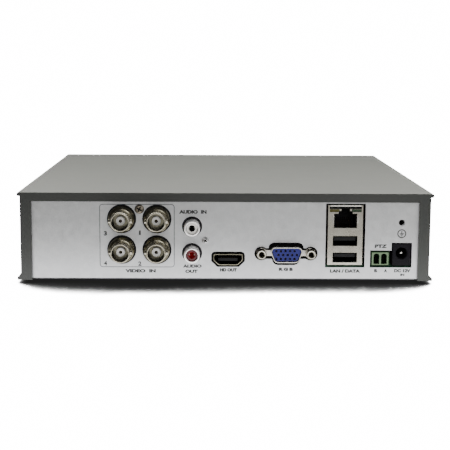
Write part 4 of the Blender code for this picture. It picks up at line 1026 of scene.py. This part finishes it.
def make_power_jack():
    low, high = box("power_jack")
    pin_low, pin_high, centre = located("power_jack_pin", "Y")
    jack = make_object("power_socket", block(low, high))
    bevel(jack, 0.3, 40.0)
    rim = [(0.0, high.y - 9.5), (2.85, high.y - 9.5), (2.85, high.y - 0.5), (3.25, high.y),
           (3.25, high.y + 1.0), (0.0, high.y + 1.0)]
    cut(jack, turned(rim, "Y", centre, 48))
    dress(jack, JACK_BLACK, "connector_black", replaces=("power_jack",))
    start, tip, radius = pin_low.y, pin_high.y, (pin_high.x - pin_low.x) / 2
    profile = [(0.0, start), (radius, start)]
    for step in range(6):
        turn = math.radians(15 * step)
        profile.append((radius * math.cos(turn), tip - 1.2 * (1 - math.sin(turn))))
    profile.append((0.0, tip))
    add_piece("power_pin", turned(profile, "Y", centre, 32), BRIGHT, "nickel_plate",
              replaces=("power_jack_pin",))


def make_panel_screws():
    for name in ("bnc", "rca"):
        low, high, centre = located(f"panel_screw_{name}", "Y")
        finish = BRONZE if name == "bnc" else ZINC
        screw_head(f"panel_screw_cross_{name}", "Y", centre, PANEL_Y + 0.05, high.y,
                   (high.x - low.x) / 2, 1.05, finish, "screw_bronze", f"panel_screw_{name}", low.y)


def make_ground_collar():
    """The threaded collar pressed out of the panel behind the ground hole."""
    centre, radius = (-88.8, 31.4), 1.55
    start, end = PANEL_Y - 2.6, PANEL_Y - SHEET - 0.02
    profile = [(radius + 0.8, start), (radius + 0.8, end)]
    for turn in range(4):
        along = end - turn * 0.4
        profile += [(radius + 0.22, along - 0.05), (radius, along - 0.22)]
    profile.append((radius + 0.1, start))
    add_piece("ground_thread", turned(profile, "Y", centre, 32), STEEL, "panel_steel")


# ---------------------------------------------------------------- print on the panel

PRINT_Y = PANEL_Y + 0.012
INK_HALF = 0.01


def print_text(name, words, x, z, width, height, bold=0.0):
    """Prints generic wording on the panel, centred at x and z, stretched to a width and height."""
    curve = bpy.data.curves.new(name, "FONT")
    curve.body = words
    curve.size = 1.0
    curve.extrude = 0.0
    curve.offset = bold
    curve.resolution_u = 4
    text = bpy.data.objects.new(name, curve)
    bpy.context.scene.collection.objects.link(text)
    depsgraph = bpy.context.evaluated_depsgraph_get()
    mesh = bpy.data.meshes.new_from_object(text.evaluated_get(depsgraph))
    bpy.data.objects.remove(text, do_unlink=True)
    xs = [v.co.x for v in mesh.vertices]
    ys = [v.co.y for v in mesh.vertices]
    scale_x, scale_y = width / (max(xs) - min(xs)), height / (max(ys) - min(ys))
    mid_x, mid_y = (max(xs) + min(xs)) / 2, (max(ys) + min(ys)) / 2
    for vertex in mesh.vertices:
        a, b = (vertex.co.x - mid_x) * scale_x, (vertex.co.y - mid_y) * scale_y
        vertex.co = place("Y", PRINT_Y, x - a, z + b)
    obj = bpy.data.objects.new(name, mesh)
    bpy.context.scene.collection.objects.link(obj)
    solidify = obj.modifiers.new("ink", "SOLIDIFY")
    solidify.thickness = 2 * INK_HALF * MM
    solidify.offset = 0.0
    bake(obj)
    dress(obj, INK, "panel_steel")


def make_print():
    for words, x, z in (("3", 60.5, 25.4), ("1", 43.2, 25.8), ("4", 60.6, 10.15), ("2", 43.3, 10.0)):
        wide = 0.9 if words == "1" else 1.6
        print_text(f"print_{words}", words, x, z, wide, 2.3, 0.05)
    lines = (("video_in", "VIDEO  IN", 42.95, 6.3, 15.4, 1.75),
             ("audio_in", "AUDIO  IN", 16.55, 36.5, 13.8, 1.9),
             ("audio_out_1", "AUDIO", 16.8, 8.8, 9.5, 1.65), ("audio_out_2", "OUT", 17.2, 6.1, 6.3, 1.7),
             ("hd_out", "HD OUT", -1.45, 6.9, 8.6, 1.75), ("pc_out", "R G B", -30.6, 7.3, 7.2, 1.7),
             ("lan_data", "LAN / DATA", -60.6, 6.5, 15.3, 1.75), ("ptz", "PTZ", -78.5, 19.35, 6.2, 1.75),
             ("b", "B", -76.2, 6.75, 1.5, 1.7), ("a", "A", -81.2, 6.75, 1.6, 1.7),
             ("dc", "DC 12V", -89.7, 6.75, 8.3, 1.7), ("dc_in", "IN", -89.8, 4.65, 2.1, 1.2))
    for name, words, x, z, width, height in lines:
        weight = 0.09 if name in ("hd_out", "pc_out") else 0.065
        print_text(f"print_{name}", words, x, z, width, height, weight)
    box_low_x, box_high_x, box_low_z, box_high_z = 25.74, 63.46, 8.14, 40.35
    line, corner = 0.35, 1.6
    outer = rounded(box_low_x, box_high_x, box_low_z, box_high_z, corner, 6)
    inner = rounded(box_low_x + line, box_high_x - line, box_low_z + line, box_high_z - line,
                    corner - line, 6)
    print_ring("print_video_box", outer, inner, LINE_INK)
    symbol = (-88.9, 25.8)
    print_ring("print_ground_ring", circle(symbol, 2.25, 40), circle(symbol, 1.75, 40), INK)
    bars = bmesh.new()
    low, high = PRINT_Y - INK_HALF, PRINT_Y + INK_HALF
    add_prism(bars, rectangle(*around((symbol[0], symbol[1] + 0.75), 0.42, 1.3)), "Y", low, high)
    for width, drop in ((2.3, 0.05), (1.5, -0.55), (0.7, -1.15)):
        bar = around((symbol[0], symbol[1] + drop), width, 0.38)
        add_prism(bars, rectangle(*bar), "Y", low - 0.001, high + 0.001)
    add_piece("print_ground_bars", bars, INK, "panel_steel")


def print_ring(name, outer, inner, finish):
    """A thin printed line between two outlines that have the same number of points."""
    bm = bmesh.new()
    rings = []
    for y in (PRINT_Y - INK_HALF, PRINT_Y + INK_HALF):
        for outline in (outer, inner):
            rings.append([bm.verts.new(place("Y", y, a, b)) for a, b in outline])
    back_out, back_in, front_out, front_in = rings
    sides = ((back_out, back_in), (front_out, front_in), (back_out, front_out), (back_in, front_in))
    for i in range(len(outer)):
        for first, second in sides:
            bm.faces.new((first[i - 1], first[i], second[i], second[i - 1]))
    add_piece(name, bm, finish, "panel_steel")


# ---------------------------------------------------------------- inside

def add_chip(bodies, legs, centre, size, height, pins=0, four_sided=False):
    """A chip on the main board: its body, and bent legs along two or four of its sides."""
    x, y = centre
    half_x, half_y = size[0] / 2, size[1] / 2
    low, top = BOARD_TOP + 0.12, BOARD_TOP + height
    add_block(bodies, (x - half_x, y - half_y, low), (x + half_x, y + half_y, top))
    shoulder = (low + top) / 2
    for i in range(pins):
        along = (i + 0.5) / pins * 2 - 1
        for side in (-1, 1):
            edge = y + side * half_y
            add_leg(legs, x + along * half_x, edge, side, shoulder, False)
            if four_sided:
                add_leg(legs, y + along * half_y, x + side * half_x, side, shoulder, True)


def add_leg(legs, along, edge, side, shoulder, sideways):
    """One gull-wing leg that leaves the body at edge and ends on its pad."""
    wide, sheet, pad = 0.15, 0.12, BOARD_TOP + 0.02
    reach = [(edge - side * 0.05, shoulder), (edge + side * 0.35, shoulder),
             (edge + side * 0.55, pad + sheet), (edge + side * 1.1, pad + sheet),
             (edge + side * 1.1, pad), (edge + side * 0.45, pad), (edge + side * 0.25, shoulder - sheet),
             (edge - side * 0.05, shoulder - sheet)]
    if sideways:
        add_prism(legs, reach, "Y", along - wide, along + wide)
    else:
        add_prism(legs, reach, "X", along - wide, along + wide)


def make_chips():
    bodies, legs = bmesh.new(), bmesh.new()
    for spot in ((-47, 52), (-47, 36)):
        add_chip(bodies, legs, spot, (9, 13), 1.2)
    add_chip(bodies, legs, (28, 58), (14, 14), 1.5, 20, True)
    add_chip(bodies, legs, (12, 40), (5, 4), 1.6, 4)
    add_chip(bodies, legs, (12, 64), (8, 6), 1.4, 8)
    add_chip(bodies, legs, (-60, 60), (16, 9), 5.6, 8)
    add_chip(bodies, legs, (-78, 72), (5, 4), 1.6, 4)
    add_chip(bodies, legs, (-74, 36), (6, 5), 1.5, 6)
    add_chip(bodies, legs, (48, 62), (9, 9), 1.2, 12, True)
    add_chip(bodies, legs, (30, 38), (10, 6), 1.3, 10)
    add_piece("board_chips", bodies, EPOXY, "chip_black", edge=0.12)
    add_piece("board_chip_legs", legs, CREAM, "nickel_plate")


def make_capacitor(number, x, y, radius, height):
    """An aluminium can in a dark sleeve, with a stamped cross on top."""
    centre, low = (x, y), BOARD_TOP + 0.05
    top = BOARD_TOP + height
    can = [(0.0, low), (radius * 0.93, low), (radius * 0.93, low + 0.8), (radius * 0.86, low + 1.1),
           (radius * 0.93, low + 1.4), (radius * 0.93, top - 0.5), (radius * 0.86, top - 0.1),
           (radius * 0.78, top), (0.0, top)]
    body = make_object(f"capacitor_{number}", turned(can, "Z", centre, 32))
    cut(body, prism(shifted(cross(0.6 * radius, 0.1), centre), "Z", top - 0.2, top + 1.0))
    dress(body, BRIGHT, "cell_steel", edge=0.04)
    sleeve = [(radius * 0.95, low + 1.5), (radius, low + 1.6), (radius, top - 0.45),
              (radius * 0.9, top + 0.02), (radius * 0.84, top + 0.02), (radius * 0.9, top - 0.15),
              (radius * 0.95, top - 0.5)]
    add_piece(f"capacitor_sleeve_{number}", turned(sleeve, "Z", centre, 32), SLEEVE, "chip_black")


def make_inductor(number, x, y):
    """A wound coil in a square ferrite frame."""
    low = BOARD_TOP + 0.1
    centre = (x, y)
    body = make_object(f"inductor_{number}", prism(rounded(*around(centre, 7.4, 7.4), 1.2), "Z", low,
                                                   low + 4.2))
    cut(body, prism(circle(centre, 3.1, 40), "Z", low + 1.0, low + 6))
    dress(body, ANODISED, "heatsink_black", edge=0.2)
    profile = [(0.0, low + 0.9), (2.0, low + 0.9)]
    for turn in range(6):
        z = low + (1.1 + turn * 0.45)
        profile += [(2.75, z), (2.95, z + 0.22), (2.75, z + 0.42)]
    profile += [(2.3, low + 3.9), (2.3, low + 4.1), (0.0, low + 4.1)]
    add_piece(f"inductor_coil_{number}", turned(profile, "Z", centre, 32), COPPER, "screw_bronze")


def make_cell_holder():
    low, high, centre = located("coin_cell", "Z")
    radius = (high.x - low.x) / 2
    base, outer = BOARD_TOP + 0.02, radius + 1.6
    ring = make_object("cell_holder", turned([(radius + 0.2, base), (outer, base), (outer, high.z - 0.9),
                                              (outer - 0.3, high.z - 0.6), (radius + 0.2, high.z - 0.6)],
                                             "Z", centre, 64))
    cut(ring, block((centre[0] - 4, centre[1] - outer - 1.0, base + 1.0),
                    (centre[0] + 4, centre[1] - radius + 2, high.z + 1.0)))
    dress(ring, BLACK, "connector_black", edge=0.15)
    reach, wide, sheet = outer + 0.3, 2.2, 0.3
    path = [(-reach, base), (-reach, high.z), (-reach + 0.5, high.z + 0.4), (reach - 0.5, high.z + 0.4),
            (reach, high.z), (reach, base), (reach - sheet, base), (reach - sheet, high.z - 0.1),
            (reach - 0.7, high.z + 0.1), (-reach + 0.7, high.z + 0.1), (-reach + sheet, high.z - 0.1),
            (-reach + sheet, base)]
    strap = [(centre[0] + a, z) for a, z in path]
    add_piece("cell_strap", prism(strap, "Y", centre[1] - wide, centre[1] + wide), BRIGHT,
              "nickel_plate", edge=0.08)


def make_buzzer():
    centre, low = (22.0, 20.0), BOARD_TOP + 0.05
    profile = [(0.0, low), (5.9, low), (6.0, low + 0.4), (6.0, low + 7.6), (5.5, low + 8.2),
               (1.3, low + 8.2), (1.2, low + 8.0), (1.2, low + 5.0), (0.0, low + 5.0)]
    add_piece("buzzer", turned(profile, "Z", centre, 48), BLACK, "connector_black")


def make_crystals():
    cans = bmesh.new()
    for x, y in ((-30.0, 22.0), (14.0, 52.0)):
        add_prism(cans, rounded(*around((x, y), 11.0, 4.6), 2.25, 8), "Z", BOARD_TOP + 0.1,
                  BOARD_TOP + 0.5)
        add_prism(cans, rounded(*around((x, y), 10.2, 3.8), 1.85, 8), "Z", BOARD_TOP + 0.45,
                  BOARD_TOP + 3.6)
    add_piece("crystals", cans, BRIGHT, "cell_steel", edge=0.2)


TALL_PARTS = ((-47, 44, 7, 17), (28, 58, 10, 10), (12, 40, 5, 5), (12, 64, 6, 6), (-60, 60, 11, 8),
              (-78, 72, 5, 5), (-74, 36, 6, 6), (48, 62, 8, 8), (30, 38, 8, 6), (-18, 46, 20, 20),
              (48, 24, 14, 14), (22, 20, 8, 8), (-30, 22, 8, 5), (14, 52, 8, 4), (-84, 60, 7, 7),
              (-84, 46, 7, 7), (-72, 50, 5, 5), (36, 12, 4, 4), (-72, 12, 22, 8), (-10, 22, 5, 5),
              (64, 12, 5, 5), (-60, 30, 6, 6), (-60, 44, 6, 6), (48, 44, 5, 5), (-92, 80, 14, 8),
              (66, 84, 6, 8), (56, 50, 3, 3), (-60, 82, 12, 12), (-88, 32, 6, 6))


def make_small_parts():
    """Chip resistors and capacitors, laid out on a grid wherever the board is free."""
    dice = random.Random(7)
    stones, blacks, ends = bmesh.new(), bmesh.new(), bmesh.new()
    for column in range(-46, 34):
        for row in range(4, 38):
            x, y = column * 2.0, row * 2.0 + 1.0
            taken = any(abs(x - a) < half_a and abs(y - b) < half_b for a, b, half_a, half_b in TALL_PARTS)
            if taken or dice.random() > 0.16:
                continue
            lying = dice.random() < 0.5
            half_x, half_y = (0.8, 0.4) if lying else (0.4, 0.8)
            top = BOARD_TOP + (0.55 if dice.random() < 0.6 else 0.4)
            body = stones if top > BOARD_TOP + 0.5 else blacks
            add_block(body, (x - half_x, y - half_y, BOARD_TOP + 0.01), (x + half_x, y + half_y, top))
            for side in (-1, 1):
                end_x, end_y = (side * (half_x - 0.12), 0.0) if lying else (0.0, side * (half_y - 0.12))
                wide_x, wide_y = (0.16, half_y) if lying else (half_x, 0.16)
                add_block(ends, (x + end_x - wide_x, y + end_y - wide_y - 0.02, BOARD_TOP + 0.005),
                          (x + end_x + wide_x, y + end_y + wide_y + 0.02, top + 0.03))
    add_piece("small_capacitors", stones, STONE, "insulator_white")
    add_piece("small_resistors", blacks, EPOXY, "chip_black")
    add_piece("small_part_ends", ends, CREAM, "nickel_plate")


def make_board_details():
    make_chips()
    cans = ((-84, 60, 4.0, 11.0), (-84, 46, 4.0, 11.0), (-72, 50, 3.2, 8.0), (36, 12, 2.6, 6.0),
            (48, 44, 3.2, 7.5))
    for number, (x, y, radius, height) in enumerate(cans, 1):
        make_capacitor(number, x, y, radius, height)
    for number, (x, y) in enumerate(((-60, 30), (-60, 44), (-88, 32)), 1):
        make_inductor(number, x, y)
    make_cell_holder()
    make_buzzer()
    make_crystals()
    make_small_parts()
    for number, (x, y) in enumerate(((-10, 22), (64, 12), (66, 86)), 1):
        screw_head(f"board_screw_{number}", "Z", (x, y), BOARD_TOP + 0.02, BOARD_TOP + 2.1, 2.7, 1.3,
                   ZINC, "screw_zinc", None, BOARD_TOP - 1.4)


def make_drive_details():
    """Screws round the edge of the drive's lid, and a plain label on its raised disc."""
    raised = box("drive_lid")[1].z
    plate = raised - 1.0
    x0, y0 = located("drive_platter", "Z")[2]
    spots = ((-54.0, -94.0), (-54.0, -50.0), (-54.0, -5.0), (81.0, -94.0), (81.0, -5.0), (-12.0, -94.0))
    for number, (x, y) in enumerate(spots, 1):
        screw_head(f"drive_screw_{number}", "Z", (x, y), plate + 0.02, plate + 1.1, 2.3, 1.0, ZINC,
                   "screw_zinc", None, plate - 0.5)
    add_piece("drive_label", prism(rounded(*around((x0, y0), 58, 58), 3.0, 6), "Z", raised + 0.01,
                                   raised + 0.09), PAPER, "plug_white", edge=0.02)
    bars = bmesh.new()
    ink_low, ink_high = raised + 0.08, raised + 0.11
    for x, y, wide, deep in ((0, 22, 48, 5), (-6, 14, 36, 1.6), (-6, 10, 36, 1.6), (-12, 6, 24, 1.6),
                             (-6, -2, 36, 1.6), (-6, -6, 36, 1.6), (0, -11, 48, 0.6)):
        add_block(bars, (x0 + (x - wide / 2), y0 + (y - deep / 2), ink_low),
                  (x0 + (x + wide / 2), y0 + (y + deep / 2), ink_high))
    for i in range(25):
        x = x0 + (-24 + i * 1.9)
        add_block(bars, (x, y0 - 24, ink_low), (x + (0.5 + 0.5 * (i * 7 % 3)), y0 - 15, ink_high))
    add_piece("drive_label_bars", bars, LINE_INK, "chip_black")


def make_front_details():
    """Frames round the window and lights, lamps on the front board, and a line across the bezel."""
    low, high = box("front_bezel")
    face = low.y
    window_low, window_high = box("ir_window")
    ring = make_object("window_frame", prism(rounded(window_low.x - 0.9, window_high.x + 0.9,
                                                     window_low.z - 0.9, window_high.z + 0.9, 1.4, 6),
                                             "Y", face - 0.25, face + 0.3))
    cut(ring, prism(rounded(window_low.x - 0.2, window_high.x + 0.2, window_low.z - 0.2,
                            window_high.z + 0.2, 0.9, 6), "Y", face - 1.0, face + 1.0))
    dress(ring, COVER, "bezel_gloss", edge=0.1)
    lamps = bmesh.new()
    for light in ("power", "drive", "network"):
        pipe_low, pipe_high, (x, z) = located(f"light_pipe_{light}", "Y")
        radius = (pipe_high.x - pipe_low.x) / 2
        profile = [(radius + 0.2, face - 0.2), (radius + 0.7, face - 0.2), (radius + 0.9, face + 0.2),
                   (radius + 0.2, face + 0.2)]
        add_piece(f"light_ring_{light}", turned(profile, "Y", (x, z), 32), COVER, "bezel_gloss")
        add_block(lamps, (x - 1.0, pipe_high.y + 0.25, z - 0.7), (x + 1.0, pipe_high.y + 1.25, z + 0.7))
    add_piece("front_lamps", lamps, WHITE, "insulator_white", edge=0.15)
    add_piece("bezel_line", block((low.x + 6, face - 0.12, low.z + 9.0), (high.x - 6, face + 0.3,
                                                                          low.z + 9.5)), COVER,
              "bezel_gloss", edge=0.1)


def make_inside():
    for node, finish, slot in (("main_board", BOARD, "circuit_board"),
                               ("front_board", BOARD, "circuit_board"),
                               ("drive_board", BOARD, "circuit_board"),
                               ("processor_chip", EPOXY, "chip_black"),
                               ("heatsink", ANODISED, "heatsink_black"),
                               ("bnc_housing", BLACK, "connector_black"),
                               ("rca_housing", BLACK, "connector_black"),
                               ("coin_cell", BRIGHT, "cell_steel"),
                               ("drive_base", CAST, "drive_casting"),
                               ("drive_lid", LID, "drive_lid_steel"),
                               ("drive_magnet", BRIGHT, "nickel_plate"),
                               ("data_plug_drive", BLACK, "connector_black"),
                               ("data_plug_board", BLACK, "connector_black"),
                               ("power_plug_drive", NYLON, "plug_white"),
                               ("power_plug_board", NYLON, "plug_white")):
        refine(node, finish, slot, 0.25)
    refine("drive_platter", MIRROR, "disc_mirror", 0.1, "platter")
    refine("drive_head_arm", MACHINED, "arm_aluminium", 0.15, "head_arm")
    for cable, finish, slot in (("data_cable", RED_PVC, "cable_red"),
                                ("power_cable", GREY_PVC, "cable_grey"),
                                ("front_cable", GREY_PVC, "cable_grey")):
        refine(cable, finish, slot, 0.0)


make_case()
for number in (1, 2, 3, 4):
    make_video_socket(number)
make_audio_socket("audio_in", RCA_WHITE, "rca_white")
make_audio_socket("audio_out", RCA_RED, "rca_red")
make_hd_socket()
make_d_socket()
make_lan_stack()
make_serial_header()
make_power_jack()
make_panel_screws()
make_ground_collar()
make_print()
make_inside()
make_board_details()
make_drive_details()
make_front_details()
